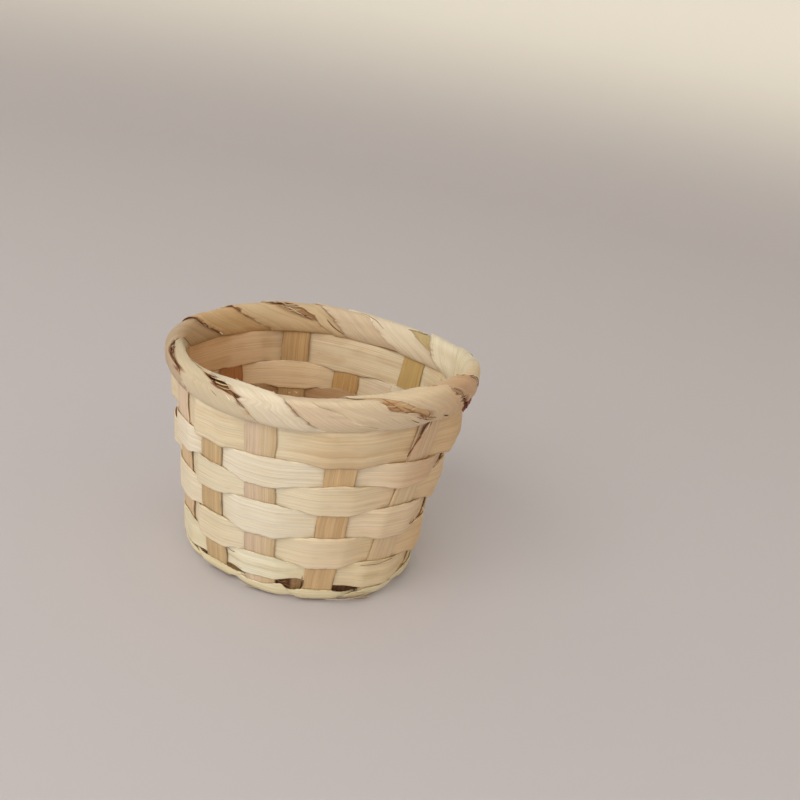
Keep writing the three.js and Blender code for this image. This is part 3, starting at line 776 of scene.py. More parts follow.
# What each turn does at its two edges: list of (theta, degrees) that its near or far edge draws
# back from the line (positive opens a gap).
NEAR_GAP = {0: [(22, 0), (34, 2.0), (48, 4.5), (75, 5.2), (92, 3.0), (104, 0)],
            1: [(12, 0), (25, 1.6), (34, 4.0), (48, 6.2), (62, 8.6), (80, 12.5), (98, 14), (125, 16), (150, 8), (180, 0)],
            4: [(-48, 0), (-36, 0.3), (-25, 1.0), (-12, 2.8), (0, 4.8), (8, 7.0), (20, 8.2), (40, 6.4), (57, 3.6), (75, 1.6), (88, 0)],
            5: [(-66, 4.5), (-45, 4.5), (-32, 3.5), (-18, 1.0), (-8, 1.6), (6, 1.6), (12, 0.3), (15, 0)],
            9: [(90, 6), (122, 12.5), (152, 8.5), (185, 0.5), (200, 0)],
            12: [(88, 0), (100, 0.4), (180, 0.4), (195, 0)]}
FAR_GAP = {3: [(-40, 0), (-30, 1.0), (-15, 0.8), (-8, 0)],
           4: [(-66, 1.5), (-30, 1.2), (-12, 1.2), (-5, 3.0), (6, 3.0), (13, 1.2), (35, 0.8), (48, 0.5), (56, 0)],
           5: [(-10, 0), (5, 0.8), (60, 0.8), (90, 0.4), (100, 0)],
           11: [(85, 0), (100, 3.0), (122, 5.0), (142, 7.5), (165, 5.5), (185, 1.5), (200, 0)],
           12: [(75, 0), (88, 2.6), (100, 2.2), (120, 0.8), (165, 0.4), (185, 0)],
           13: [(38, 0), (50, 1.0), (88, 1.8), (110, 1.9), (130, 0.8), (200, 0.6), (225, 0)]}
# Where a turn's far edge is torn and brown: turn, from and to theta, strength.
CRACKS = [(0, 25, 70, 0.9), (3, -40, 0, 0.7), (4, -60, 45, 0.9), (5, 0, 100, 0.95), (11, 95, 190, 0.8), (12, 75, 150, 0.95),
          (13, 40, 215, 0.95), (14, 10, 95, 0.9), (1, -30, 50, 0.35), (8, 150, 215, 0.3), (10, 100, 200, 0.35)]
# Where the front of the rim dips: turn, list of (theta, mm).
DIPS = {2: [(48, 0), (80, -1.05), (150, -1.05), (185, 0)], 3: [(50, 0), (85, -0.95), (150, -0.8), (185, 0)]}
# How far the far edge of these turns stands out, as a share, by theta.
FLUSH = {2: [(0, 0.2), (12, 0.9), (34, 0.9), (46, 0.25)], 6: [(0, 0.6)], 9: [(0, 0.6)],
         14: [(15, 0.15), (32, 1.0), (105, 1.0), (120, 0.5)], 3: [(-60, 0.4), (-30, 0.8), (60, 0.8), (75, 0.4)]}
TORN = {0: 2.0, 1: 1.5, 3: 1.6, 4: 1.3, 5: 1.3, 11: 2.4, 12: 1.7, 13: 1.5, 14: 1.4}   # how ragged their edges are
TURN_LOOK = {  # base colour and accent of each turn, from the one between lines 0 and 1 on
    0: (srgb(213, 196, 164), srgb(221, 206, 176)), 1: (srgb(231, 219, 194), srgb(224, 208, 180)),
    2: (srgb(219, 196, 165), srgb(227, 208, 179)), 3: (srgb(219, 197, 164), srgb(227, 208, 179)),
    4: (srgb(226, 203, 168), srgb(233, 213, 180)), 5: (srgb(216, 186, 152), srgb(224, 198, 166)),
    6: (srgb(230, 218, 184), srgb(236, 226, 196)), 7: (srgb(234, 224, 194), srgb(228, 216, 184)),
    8: (srgb(236, 227, 200), srgb(230, 218, 188)), 9: (srgb(232, 219, 194), srgb(224, 208, 180)),
    10: (srgb(216, 194, 164), srgb(224, 205, 176)), 11: (srgb(218, 195, 158), srgb(210, 184, 146)),
    12: (srgb(221, 195, 157), srgb(211, 182, 141)), 13: (srgb(209, 169, 123), srgb(217, 184, 138)),
    14: (srgb(194, 168, 138), srgb(202, 180, 150)),
}
# Painted highlight along each turn's cut edge, with the pale colour of its fresh fibres.
HIGHLIT_EDGE = {9: 0.95, 8: 0.5, 2: 0.4, 6: 0.5, 10: 0.35, 3: 0.45}   # how pale each turn's cut edge is
SAG = {0: 0.3, 1: 0.7, 2: 0.8, 3: 1.0, 4: 1.0, 5: 0.4}


THETA = np.concatenate([np.arange(-70, -50, 3.3), np.arange(-50, 200, 2.5), np.arange(200, 254, 3.5), [256.0]])


def along_section(theta):
    d, h = rim_section(theta)
    return np.cumsum(np.hypot(np.diff(d, prepend=d[0]), np.diff(h, prepend=h[0])))


def turn_edges(k, theta):
    """Near and far edge of turn k in degrees at each theta."""
    near = LINES[k]
    far = LINES[(k + 1) % len(LINES)]
    add = 360.0 if k + 1 == len(LINES) else 0.0
    pn = pchip([p[0] for p in near], [p[1] for p in near], theta)
    pf = pchip([p[0] for p in far], [p[1] + add for p in far], theta)
    under = np.ones_like(theta)
    if k in NEAR_GAP:
        g = NEAR_GAP[k]
        pn = pn + np.interp(theta, [q[0] for q in g], [q[1] for q in g])
        under = 1 - np.interp(theta, [q[0] for q in g], [1.0 if q[1] > 0.3 else 0.0 for q in g], left=0, right=0)
    if k in FAR_GAP:
        pf = pf - np.interp(theta, [g[0] for g in FAR_GAP[k]], [g[1] for g in FAR_GAP[k]], left=0, right=0)
    return pn, pf, under


def torn(seed, x, longest, depth):
    """How far a torn edge draws back (mm): fibres end one after another, so it steps."""
    g = np.random.default_rng(seed)
    out = np.zeros_like(x)
    p = x[0] - g.uniform(0, longest)
    while p < x[-1]:
        q = p + g.uniform(0.25, 1.0) * longest
        on = (x >= p) & (x < q)
        out[on] = depth * g.uniform(0, 1) ** 2 * ((x[on] - p) / (q - p)) ** 1.5
        p = q
    return out


def turn(k):
    theta = THETA
    pn, pf, under = turn_edges(k, theta)
    seed = 5000 + 41 * k
    length = along_section(theta)
    deg = 180 / math.pi / R_RIM
    rough = TORN.get(k, 1.0)
    pf = pf + (0.12 - torn(seed + 1, length, 7.0, 0.75) - torn(seed + 16, length, 1.8, 0.32 * (rough - 0.4))) * deg
    rough = TORN.get((k - 1) % len(LINES), 1.0)
    pn = pn + (1 - under) * (torn(seed + 2, length, 5.0, 0.8) + torn(seed + 17, length, 1.6, 0.5 * (rough - 0.4))) * deg
    pn = pn - 4.0 * under
    a = across(19, 0.016)
    d, h = rim_section(theta)
    # Direction away from the section's middle.
    dd, hh = np.gradient(d), np.gradient(h)
    ln = np.hypot(dd, hh)
    nd, nh = hh / ln, -dd / ln
    u = (a + 0.5)[None, :]
    phi = pn[:, None] + (pf - pn)[:, None] * u
    # The near edge runs under the turn before, the far edge over the turn after.
    share = FLUSH.get(k, [(0, 1.0)])
    flush = np.interp(theta, [g[0] for g in share], [g[1] for g in share])[:, None]
    lift = 0.03 + (0.12 + 0.34 * flush) * smooth((u - 0.42) / 0.5) + 0.10 * np.sin(np.pi * np.clip(u, 0, 1))
    lift = lift + 0.07 * wander(seed, length, 9, 1.0)[:, None] * np.sin(np.pi * u)
    curl = 0.30 * flush * smooth((u - 0.84) / 0.16) * np.clip(wander(seed + 3, length, 5, 0.9), 0, 1)[:, None]
    ridge = wander(seed + 4, a * 12, 1.3, 0.030)[None, :]
    # A crease that runs along the strip where it was folded.
    fold = 0.5 + 0.25 * math.sin(k * 1.7) + 0.06 * wander(seed + 5, length, 14, 1.0)[:, None]
    crease = -0.13 * np.exp(-((u - fold) / 0.05) ** 2) * np.clip(0.4 + wander(seed + 8, length, 8, 0.7), 0, 1)[:, None]
    off = lift + curl + ridge + crease
    if k in DIPS:
        off = off + np.interp(theta, [g[0] for g in DIPS[k]], [g[1] for g in DIPS[k]])[:, None]
    ends = (smooth((-56 - theta) / 14) + smooth((theta - 244) / 12))[:, None]
    off = off * (1 - 0.8 * ends)
    sag = SAG.get(k, 0.40 + 0.25 * math.sin(k * 2.1))
    H = h[:, None] + nh[:, None] * off - sag * smooth((-20 - theta) / 35)[:, None] * np.sin(np.pi * np.clip(u * 0.9 + 0.1, 0, 1)) \
        - 0.35 * smooth((theta - 215) / 30)[:, None] * np.sin(np.pi * u)
    D = d[:, None] + nd[:, None] * off
    phi = phi + np.degrees(wander(seed + 6, length, 1.8, 0.04) / R_RIM)[:, None] * (2 * u - 1)
    H = squeeze(phi, H)
    mid = place(phi, S_RIM + H, D)
    core = place(phi, S_RIM + squeeze(phi, 0 * H), 0 * D)
    X = np.broadcast_to((length * 1.6)[:, None], phi.shape)
    Y = np.broadcast_to(a[None, :], phi.shape)
    base, accent = TURN_LOOK[k]
    c = strip_tint(X, Y, seed + 9, base, accent, accent * 0.80, 0.8, 0.05)
    c = c * edge_shade(X, Y, seed + 15, 0.5)
    # A brown line along some far edges: partly dirty torn skin, partly painted shade on the raised edge.
    stain = smooth((u - 0.93) / 0.07) * np.clip(wander(seed + 12, length, 6, 1.0) - 0.2, 0, 1)[:, None]
    c = blend_colour(c, srgb(176, 128, 86), 0.6 * stain)
    for which, lo, hi, amount in CRACKS:
        if which == k:
            on = (smooth((theta - lo) / 8) * smooth((hi - theta) / 8))[:, None]
            ragged = 0.955 + 0.03 * wander(seed + 21, length, 2.2, 0.6)[:, None]
            c = blend_colour(c, srgb(132, 84, 50), amount * on * smooth((u - ragged) / 0.02))
        if (which + 1) % len(LINES) == k:
            on = (smooth((theta - lo) / 8) * smooth((hi - theta) / 8))[:, None]
            c = blend_colour(c, srgb(150, 104, 66), 0.7 * amount * on * smooth((0.16 - u) / 0.1))
    # Elsewhere the cut edge is painted pale: a painted highlight along it, with the pale colour of its fresh fibres.
    torn_here = np.zeros_like(theta)
    for which, lo, hi, amount in CRACKS:
        if which == k:
            torn_here = np.maximum(torn_here, smooth((theta - lo + 4) / 8) * smooth((hi + 4 - theta) / 8))
    edge_highlight = HIGHLIT_EDGE.get(k, 0.3) * smooth((u - 0.955) / 0.02) * np.clip(0.6 + wander(seed + 31, length, 3.0, 0.5), 0, 1)[:, None]
    c = blend_colour(c, srgb(248, 238, 214), edge_highlight * (1 - torn_here)[:, None])
    # Painted shade: the left end is greyer where it turns away from the light.
    left_end_shade = hump(rad(phi), -88, 16) * smooth((30 - theta) / 40)[:, None]
    c = c * (1 - left_end_shade[..., None] * np.array([0.14, 0.15, 0.14]))
    # The inside of the last turn is browner: partly its colour, partly painted shade on the rim's inner left.
    if k == 14:
        c = c * (1 - smooth((theta - 85) / 30)[:, None, None] * np.array([0.0, 0.09, 0.20]))
    # The binding grows browner towards the right end of the rim.
    brown = np.exp(-(np.clip(np.abs(wrap(phi - 62)) - 7, 0, None) / 15) ** 2) * smooth((150 - theta) / 60)[:, None]
    c = c * (1 - brown[..., None] * np.array([0.10, 0.22, 0.32]))
    ci = c * np.array([0.93, 0.90, 0.86])
    fy = (a * 12.5)[None, :] + 0 * phi
    return ribbon(mid, np.full(phi.shape, 0.22), a, mid - core, seed, (c, ci), fy)


# ------------------------------------------------------------------ loose fibres
def fibre(points, width, thick, seed, colour):
    """A thin splinter along the given points (mm), pointed at both ends."""
    p = np.asarray(points, float)
    t = np.linspace(0, 1, 9)
    keys = np.linspace(0, 1, len(p))
    c = np.stack([pchip(keys, p[:, i], t) for i in range(3)], -1)
    tan = np.gradient(c, axis=0)
    tan /= np.linalg.norm(tan, axis=1, keepdims=True)
    ref = c - np.array([SHIFT[0], SHIFT[1], 60.0])
    side = np.cross(tan, ref)
    side /= np.linalg.norm(side, axis=1, keepdims=True)
    a = np.array([-0.5, -0.25, 0.25, 0.5])
    wd = width * np.clip(np.sin(np.pi * np.clip(t, 0.03, 0.97)), 0.08, 1) ** 0.5
    mid = c[:, None, :] + side[:, None, :] * (a[None, :] * wd[:, None])[..., None]
    col = np.broadcast_to(colour, mid.shape)
    return ribbon(mid, np.full(mid.shape[:2], thick / 2), a, np.broadcast_to(ref[:, None, :], mid.shape), seed, (col, col * 0.95))


def rim_point(phi, theta, off):
    d, h = rim_section(theta, RIM_A + off, RIM_B + off)
    return place(phi, S_RIM + squeeze(phi, h), d)


def under_piece(k, lo, hi, look, off, seed, reach=(1.8, 1.8)):
    """The layer of strip that shows in the gap at line k, between theta lo and hi."""
    theta = np.arange(lo, hi + 0.1, 3.0)
    _, far, _ = turn_edges((k - 1) % len(LINES), theta)
    near, _, _ = turn_edges(k, theta)
    if k == 0:
        far = far - 360
    a = across(11)
    u = (a + 0.5)[None, :]
    start, end = far - reach[0], near + reach[1]
    phi = start[:, None] + (end - start)[:, None] * u
    length = along_section(theta)
    phi = phi + np.degrees(wander(seed, length, 2.5, 0.10) / R_RIM)[:, None] * (2 * u - 1)
    d, h = rim_section(theta, RIM_A + off, RIM_B + off)
    ripple = 0.05 * wander(seed + 1, a * 10, 2.0, 1.0)[None, :]
    mid = place(phi, S_RIM + squeeze(phi, h[:, None] * (1 + ripple / RIM_B)), d[:, None] * (1 + ripple / RIM_A))
    core = place(phi, S_RIM + squeeze(phi, 0 * phi), 0 * phi)
    X = np.broadcast_to(length[:, None], phi.shape)
    Y = np.broadcast_to(a[None, :], phi.shape)
    base, accent, line_colour = look
    c = strip_tint(X, Y, seed + 3, base, accent, line_colour, 0.9, 0.1)
    lines = np.clip(wander(seed + 4, a * 12, 1.2, 0.9), 0, 1)[None, :]
    c = blend_colour(c, line_colour, 0.7 * lines * np.ones_like(X))
    return ribbon(mid, np.full(phi.shape, 0.11), a, mid - core, seed, (c, c * 0.9), (a * 8)[None, :] + 0 * phi)


def under_pieces():
    olive = (srgb(200, 180, 132), srgb(192, 170, 120), srgb(178, 154, 104))
    tan = (srgb(226, 193, 148), srgb(216, 177, 130), srgb(192, 146, 102))
    pale = (srgb(222, 200, 166), srgb(212, 184, 146), srgb(176, 132, 92))
    return [
        under_piece(9, 74, 196, olive, -0.28, 8101),
        under_piece(4, -44, 88, tan, -0.10, 8102),
        under_piece(1, 87, 176, pale, -0.30, 8103),
        under_piece(0, 20, 110, (srgb(206, 180, 144), srgb(186, 150, 110), srgb(140, 96, 60)), -0.25, 8106),
        under_piece(12, 88, 196, (srgb(205, 170, 126), srgb(192, 150, 104), srgb(160, 112, 72)), -0.28, 8104, (1.8, 0.2)),
    ]


def tear(k, lo, hi, count, seed, near_colours, far_colours):
    """Short fibres that stick out into the gap at line k from both of its sides."""
    g = np.random.default_rng(seed)
    out = []
    for n in range(count):
        th = float(g.uniform(lo, hi))
        t2 = np.array([th, th - g.uniform(2, 9), th + g.uniform(-12, 4)])
        near, _, _ = turn_edges(k, t2)
        _, far, _ = turn_edges((k - 1) % len(LINES), t2)
        if k == 0:
            far = far - 360
        wide = max(float(near[0] - far[0]), 0.8)
        if n % 2 == 0:
            reach, colour = g.uniform(0.35, 1.1) * wide, near_colours[int(g.integers(len(near_colours)))]
            phis = [near[0] + 1.2, near[1] - 0.4 * reach, near[2] - reach]
            offs = [0.30, 0.36, g.uniform(0.1, 0.7)]
        else:
            reach, colour = g.uniform(0.2, 0.8) * wide, far_colours[int(g.integers(len(far_colours)))]
            phis = [far[0] - 1.2, far[1] + 0.4 * reach, far[2] + reach]
            offs = [0.62, 0.60, g.uniform(0.1, 0.7)]
        pts = [rim_point(np.array(a), np.array(float(b)), c) for a, b, c in zip(phis, t2, offs)]
        out.append(fibre(pts, g.uniform(0.18, 0.42), 0.12, seed + n, colour))
    return out


def splinters():
    """Splinters and loose fibres on the binding: (phi, theta, off) points, width, colour."""
    white, pale, brown, dark = srgb(246, 236, 214), srgb(232, 214, 180), srgb(150, 100, 62), srgb(96, 56, 32)
    rows = [
        # The sliver inside the left turn's gap, and the gap's dark outline in painted shade.
        ([(-70.0, 30, 0.2), (-74.0, 48, 0.45), (-76.5, 66, 0.45), (-78.5, 86, 0.2)], 0.55, srgb(240, 226, 200)),
        ([(-66.8, 30, 0.45), (-71.6, 48, 0.6), (-76.2, 64, 0.62), (-80.6, 84, 0.5)], 0.34, dark),
        ([(-71.5, 56, 0.1), (-74.5, 74, 0.25), (-76.5, 92, 0.3)], 0.60, srgb(140, 96, 60)),
        # From the hole between the first two front turns down to the stake.
        ([(-31.6, 40, 0.5), (-28.4, 26, 0.75), (-26.2, 12, 0.74), (-24.2, -3, 0.6)], 0.34, brown),
        ([(-33.0, 30, 0.55), (-30.0, 14, 0.85), (-28.6, 2, 0.66)], 0.22, white),
        ([(-40.0, 30, 0.5), (-36.5, 14, 0.72), (-34.0, 2, 0.6)], 0.20, brown),
        # The wedge on the right of the front.
        ([(17.5, 66, 0.40), (20.5, 40, 0.52), (24.5, 14, 0.56), (29.0, -8, 0.5)], 0.34, srgb(172, 122, 80)),
        ([(24.5, 26, 0.15), (28.5, 6, 0.25), (32.0, -12, 0.3), (35.5, -30, 0.35)], 0.40, srgb(178, 126, 84)),
        ([(28.8, -6, 0.5), (31.8, -18, 0.66), (35.2, -30, 0.72), (39.2, -42, 0.6)], 0.42, srgb(134, 84, 52)),
        ([(31.0, -2, 0.4), (33.6, -14, 0.62), (36.6, -26, 0.68), (40.2, -36, 0.6)], 0.30, srgb(160, 110, 70)),
        ([(33.0, -20, 0.3), (36.5, -32, 0.7), (40.5, -40, 0.6)], 0.26, srgb(226, 202, 170)),
        # The dark line along the right end's far side.
        ([(100.5, 84, 0.5), (99.6, 58, 0.62), (97.5, 34, 0.66), (90.0, 19, 0.66), (82.0, 6, 0.5)], 0.40, srgb(132, 106, 82)),
        ([(27.6, -15, 0.56), (31.0, -32, 0.74), (35.2, -54, 0.6)], 0.26, brown),
        ([(28.6, -22, 0.60), (31.6, -38, 0.86), (34.2, -52, 0.7)], 0.20, white),
        # A short dark crack over the stake.
        ([(44.6, -40, 0.5), (46.6, -45, 0.68), (49.0, -50, 0.6)], 0.42, dark),
        # Right end of the rim.
        ([(57.5, 84, 0.6), (60.5, 62, 0.80), (64.0, 44, 0.75), (68.5, 22, 0.68), (72.5, 2, 0.5)], 0.32, brown),
        ([(58.5, 78, 0.7), (62.5, 52, 1.0), (67.0, 34, 0.95)], 0.22, white),
        ([(44.6, 54, 0.5), (47.0, 42, 0.72), (50.2, 28, 0.70), (52.8, 12, 0.6)], 0.22, srgb(140, 96, 64)),
        ([(50.6, 14, 0.5), (51.6, 10, 0.78), (52.8, 5, 0.6)], 0.46, dark),
        ([(46.0, 56, 0.5), (49.5, 38, 0.95), (53.0, 24, 0.8)], 0.24, srgb(226, 196, 164)),
        # Brown lines inside the rim at the back right.
        ([(180.2, 176, 0.5), (176.8, 200, 0.58), (171.5, 226, 0.5)], 0.40, brown),
        ([(171.0, 238, 0.45), (164.0, 246, 0.6), (157.5, 246, 0.55), (151.0, 240, 0.5)], 0.40, srgb(166, 118, 78)),
        ([(154.0, 240, 0.5), (149.0, 236, 0.6), (144.5, 234, 0.5)], 0.30, brown),
        # Jagged white fibres at the tears on the back of the rim.
        ([(203.5, 100, 0.4), (200.5, 118, 0.8), (198.5, 134, 0.7)], 0.34, pale),
        ([(201.8, 122, 0.2), (198.0, 140, 0.7), (196.0, 152, 0.5)], 0.34, brown),
        ([(199.5, 134, 0.3), (196.2, 150, 0.8), (193.6, 160, 0.7)], 0.34, pale),
        ([(197.4, 148, 0.2), (194.0, 160, 0.6), (190.0, 172, 0.6)], 0.26, dark),
        ([(196.6, 152, 0.4), (192.8, 165, 0.8), (190.4, 174, 0.7)], 0.30, pale),
        ([(192.6, 166, 0.3), (189.0, 178, 0.6), (186.4, 188, 0.5)], 0.26, brown),
        ([(224.5, 90, 0.45), (223.2, 104, 0.6), (221.8, 122, 0.55)], 0.42, dark),
        ([(221.8, 118, 0.55), (220.0, 148, 0.62), (216.5, 176, 0.55)], 0.22, brown),
        ([(246.0, 62, 0.5), (246.4, 84, 0.72), (246.0, 104, 0.6)], 0.46, dark),
        ([(246.2, 100, 0.55), (243.0, 150, 0.66), (238.0, 185, 0.6)], 0.26, dark),
        ([(232.6, 205, 0.6), (231.0, 214, 1.0), (229.8, 222, 0.8)], 0.40, white),
        ([(165.0, 110, 0.5), (158.5, 136, 0.7), (153.5, 160, 0.6)], 0.20, brown),
    ]
    out = []
    for n, (pts, width, colour) in enumerate(rows):
        p = [rim_point(np.array(a), np.array(b), c) for a, b, c in pts]
        out.append(fibre(p, width, 0.16, 9000 + n, colour))
    creams = [white, pale, srgb(226, 206, 172)]
    browns = [srgb(150, 98, 58), srgb(186, 140, 98), srgb(120, 70, 38), pale]
    out += tear(1, 36, 84, 10, 9300, [pale, srgb(214, 190, 140)], [srgb(150, 98, 58), srgb(120, 70, 38)])
    out += tear(1, 76, 112, 10, 9340, creams, [srgb(170, 136, 92), pale])
    out += tear(0, 30, 100, 10, 9360, [pale, brown], [dark, brown])
    out += tear(4, -30, 60, 9, 9400, [srgb(196, 150, 106), srgb(222, 196, 156)], [srgb(180, 132, 88), srgb(214, 180, 140)])
    out += tear(12, 92, 180, 13, 9500, [pale, srgb(222, 198, 156), brown], browns)
    out += tear(5, -14, 14, 8, 9560, [brown, pale], [brown, pale])
    # The dark frayed end that hangs under the right end of the rim.
    g = np.random.default_rng(7007)
    frayed = [srgb(148, 84, 62), srgb(130, 72, 54), srgb(162, 98, 72), srgb(116, 66, 48)]
    for n in range(14):
        phi = 63.5 + g.uniform(-2.4, 2.4)
        a = rim_point(np.array(phi), np.array(-52.0 + 2.9 * n + g.uniform(-2, 2)), 0.0)
        away = np.array([math.cos(math.radians(phi - 90)), math.sin(math.radians(phi - 90)), 0.0])
        along = np.array([-away[1], away[0], 0.0])
        b = a + away * g.uniform(0.0, 0.35) + along * g.uniform(-0.4, 0.4) + np.array([0, 0, -g.uniform(1.3, 2.1)])
        m = 0.5 * (a + b) + away * g.uniform(0.05, 0.25)
        out.append(fibre([a, m, b], g.uniform(0.45, 0.7), g.uniform(0.30, 0.42), 9700 + n, frayed[n % 4]))
    # Fine fuzz along the far edges of the turns.
    g = np.random.default_rng(4242)
    for n in range(150):
        k = int(g.integers(0, len(LINES)))
        th = float(g.uniform(-50, 215))
        near, far, _ = turn_edges(k, np.array([th, th + 10.0]))
        at = float(far[0]) + g.uniform(-0.4, 0.1)
        slope = (float(far[1]) - float(far[0])) / 10.0
        run = g.uniform(5, 16)
        swing = g.uniform(-0.04, 0.07)
        pts = [(at, th, 0.5), (at + slope * run * 0.5 + swing * run * 0.6, th + run * 0.5, 0.66 + g.uniform(0, 0.25)),
               (at + slope * run + swing * run * 1.4, th + run, 0.6 + g.uniform(0, 0.5))]
        colour = pale if g.uniform() < 0.65 else srgb(196, 150, 106)
        out.append(fibre([rim_point(np.array(a), np.array(b), c) for a, b, c in pts], g.uniform(0.10, 0.20), 0.09,
                         9100 + n, colour))
    return out


def wall_splinters():
    """Splinters on the wall: (phi, z, offset) points, width, colour."""
    pale, brown, dark = srgb(236, 216, 182), srgb(150, 98, 60), srgb(88, 50, 28)
    rows = [
        # The torn left edge of the stake right of the front, under the rim: brown torn skin, darkened further as
        # painted shadow of the gap beside it.
        ([(39.8, 60.8, 0.66), (38.7, 58.0, 0.76), (36.8, 54.6, 0.80), (34.9, 51.0, 0.70)], 0.55, srgb(122, 74, 42)),
        ([(40.6, 60.2, 0.70), (38.4, 58.9, 0.86), (37.4, 56.8, 0.80)], 0.62, srgb(98, 56, 30)),
        ([(36.2, 52.8, 0.75), (34.8, 51.6, 0.92), (34.6, 50.2, 0.74)], 0.60, srgb(116, 72, 40)),
        ([(38.6, 56.0, 0.74), (37.2, 54.8, 0.88), (36.0, 53.0, 0.80)], 0.34, srgb(160, 110, 68)),
        # The brown line under the rim is a painted shadow; a pale fibre lies at its right end.
        ([(1.5, 60.9, 0.72), (6.0, 60.7, 0.86), (10.0, 60.8, 0.84), (14.5, 61.0, 0.72)], 0.46, srgb(140, 92, 56)),
        ([(-13.0, 60.9, 0.72), (-8.0, 60.8, 0.84), (-2.0, 60.7, 0.74)], 0.32, srgb(150, 102, 66)),
        ([(14.0, 61.0, 0.72), (20.0, 61.0, 0.82), (27.0, 61.0, 0.72)], 0.26, srgb(168, 122, 82)),
        ([(41.8, 61.0, 0.76), (41.0, 59.4, 0.96), (40.0, 58.2, 0.8)], 0.50, brown),
        ([(41.0, 61.0, 0.82), (40.2, 59.0, 1.10), (39.2, 57.0, 0.9)], 0.36, pale),
        # Curls at the right side.
        ([(60.5, 46.6, 1.0), (62.5, 45.2, 1.6), (61.0, 43.4, 1.5), (57.0, 42.2, 0.8)], 0.42, pale),
        ([(60.0, 45.6, 0.95), (58.0, 43.9, 1.1), (55.0, 42.6, 0.8)], 0.34, brown),
        ([(58.0, 44.8, 0.95), (56.6, 44.0, 1.1), (56.0, 42.8, 0.8)], 0.22, pale),
        ([(58.0, 28.6, 1.0), (60.0, 27.0, 1.6), (58.0, 25.4, 1.5), (53.5, 24.3, 0.8)], 0.42, pale),
        ([(57.6, 27.4, 0.95), (55.0, 25.8, 1.1), (51.0, 24.6, 0.8)], 0.34, brown),
        ([(53.0, 25.6, 0.95), (51.4, 24.9, 1.1), (50.0, 24.6, 0.8)], 0.50, srgb(120, 76, 44)),
        # Loose slivers along the foot.
        ([(-34.0, 8.2, 1.0), (-30.5, 8.0, 1.3), (-26.5, 7.2, 1.0)], 0.30, pale),
        ([(14.0, 2.6, 1.1), (22.0, 3.0, 1.7), (31.0, 3.3, 1.9), (38.0, 3.5, 1.2)], 0.34, pale),
        ([(-8.0, 3.2, 1.1), (-2.0, 3.9, 1.6), (4.0, 3.6, 1.2)], 0.30, pale),
        ([(-29.0, 2.0, 0.9), (-24.0, 2.2, 1.25), (-17.0, 2.6, 0.9)], 0.30, srgb(220, 200, 150)),
        # Painted shade in dark slits, and torn ends, right of the front stake's foot.
        ([(16.5, 4.9, 0.75), (20.0, 4.7, 0.95), (26.0, 4.9, 0.95), (31.0, 5.3, 0.75)], 0.55, srgb(70, 42, 24)),
        ([(19.0, 3.0, 1.15), (22.5, 2.8, 1.30), (26.0, 3.1, 1.15)], 0.45, srgb(96, 60, 34)),
        ([(22.0, 4.0, 1.1), (29.0, 4.2, 1.8), (35.5, 3.9, 2.0)], 0.40, srgb(214, 190, 132)),
        ([(24.0, 3.2, 1.2), (31.0, 3.1, 1.9), (37.5, 2.9, 2.2)], 0.34, srgb(206, 172, 112)),
        ([(26.0, 2.6, 1.2), (32.0, 2.2, 1.8), (36.5, 1.9, 1.8)], 0.34, brown),
        ([(-10.4, 7.0, -0.1), (-7.5, 6.2, 0.15), (-5.4, 6.8, 0.0)], 0.50, srgb(168, 126, 84)),
        ([(-8.4, 5.0, 0.0), (-5.8, 5.6, 0.25), (-3.0, 5.2, 0.1)], 0.45, srgb(140, 100, 64)),
        ([(1.6, 7.8, 0.3), (1.8, 6.2, 0.45), (1.2, 4.6, 0.4)], 0.40, srgb(66, 40, 24)),
        # Short cracks.
        ([(-33.5, 13.6, 0.9), (-31.6, 13.1, 1.05), (-30.0, 12.9, 0.9)], 0.34, dark),
        ([(27.0, 13.9, 0.95), (36.0, 13.4, 1.15), (45.5, 13.6, 0.95)], 0.24, brown),
        ([(42.0, 47.9, 0.9), (44.5, 48.1, 1.05), (47.5, 48.4, 0.9)], 0.30, brown),
    ]
    out = []
    for n, (pts, width, colour) in enumerate(rows):
        p = [place(a, s_at(z) if z > 4 else 2.0 + (z - 1.6) * 1.0, off) for a, z, off in pts]
        out.append(fibre(p, width, 0.14, 9600 + n, colour))
    # Painted shade: dark pieces behind the open places at the foot stand in for the shadowed inside of the base.
    def shade_backing(phi0, phi1, z0, z1, d, colours, seed):
        phi = np.linspace(phi0, phi1, 26)
        a = across(11)
        z = z0 + (z1 - z0) * (a + 0.5)[None, :] + 0 * phi[:, None]
        s = s_at(z)
        rough = wander(seed, phi, 3.0, 0.10)[:, None] + wander(seed + 1, z, 1.6, 0.08)
        mid = place(phi[:, None], s, d + rough)
        outward = place(phi[:, None], s, d + rough + 1) - mid
        q = np.clip(0.5 + wander(seed + 2, phi, 4.0, 0.5), 0, 1)[:, None] * np.clip(0.6 + wander(seed + 3, z, 2.2, 0.6), 0, 1)
        c = blend_colour(np.broadcast_to(colours[0], mid.shape), colours[1], q)
        c = blend_colour(c, colours[2], smooth((phi - (phi0 + 0.55 * (phi1 - phi0))) / 1.5)[:, None] * np.ones_like(z))
        return ribbon(mid, np.full(mid.shape[:2], 0.12), a, outward, seed, (c, c))

    out.append(shade_backing(-12.5, 3.0, 3.2, 9.6, -0.55, (srgb(84, 52, 30), srgb(128, 88, 54), srgb(150, 120, 84)), 9801))
    out.append(shade_backing(14.5, 34.0, 3.2, 8.0, -0.55, (srgb(78, 48, 28), srgb(104, 68, 40), srgb(96, 60, 36)), 9811))
    return out


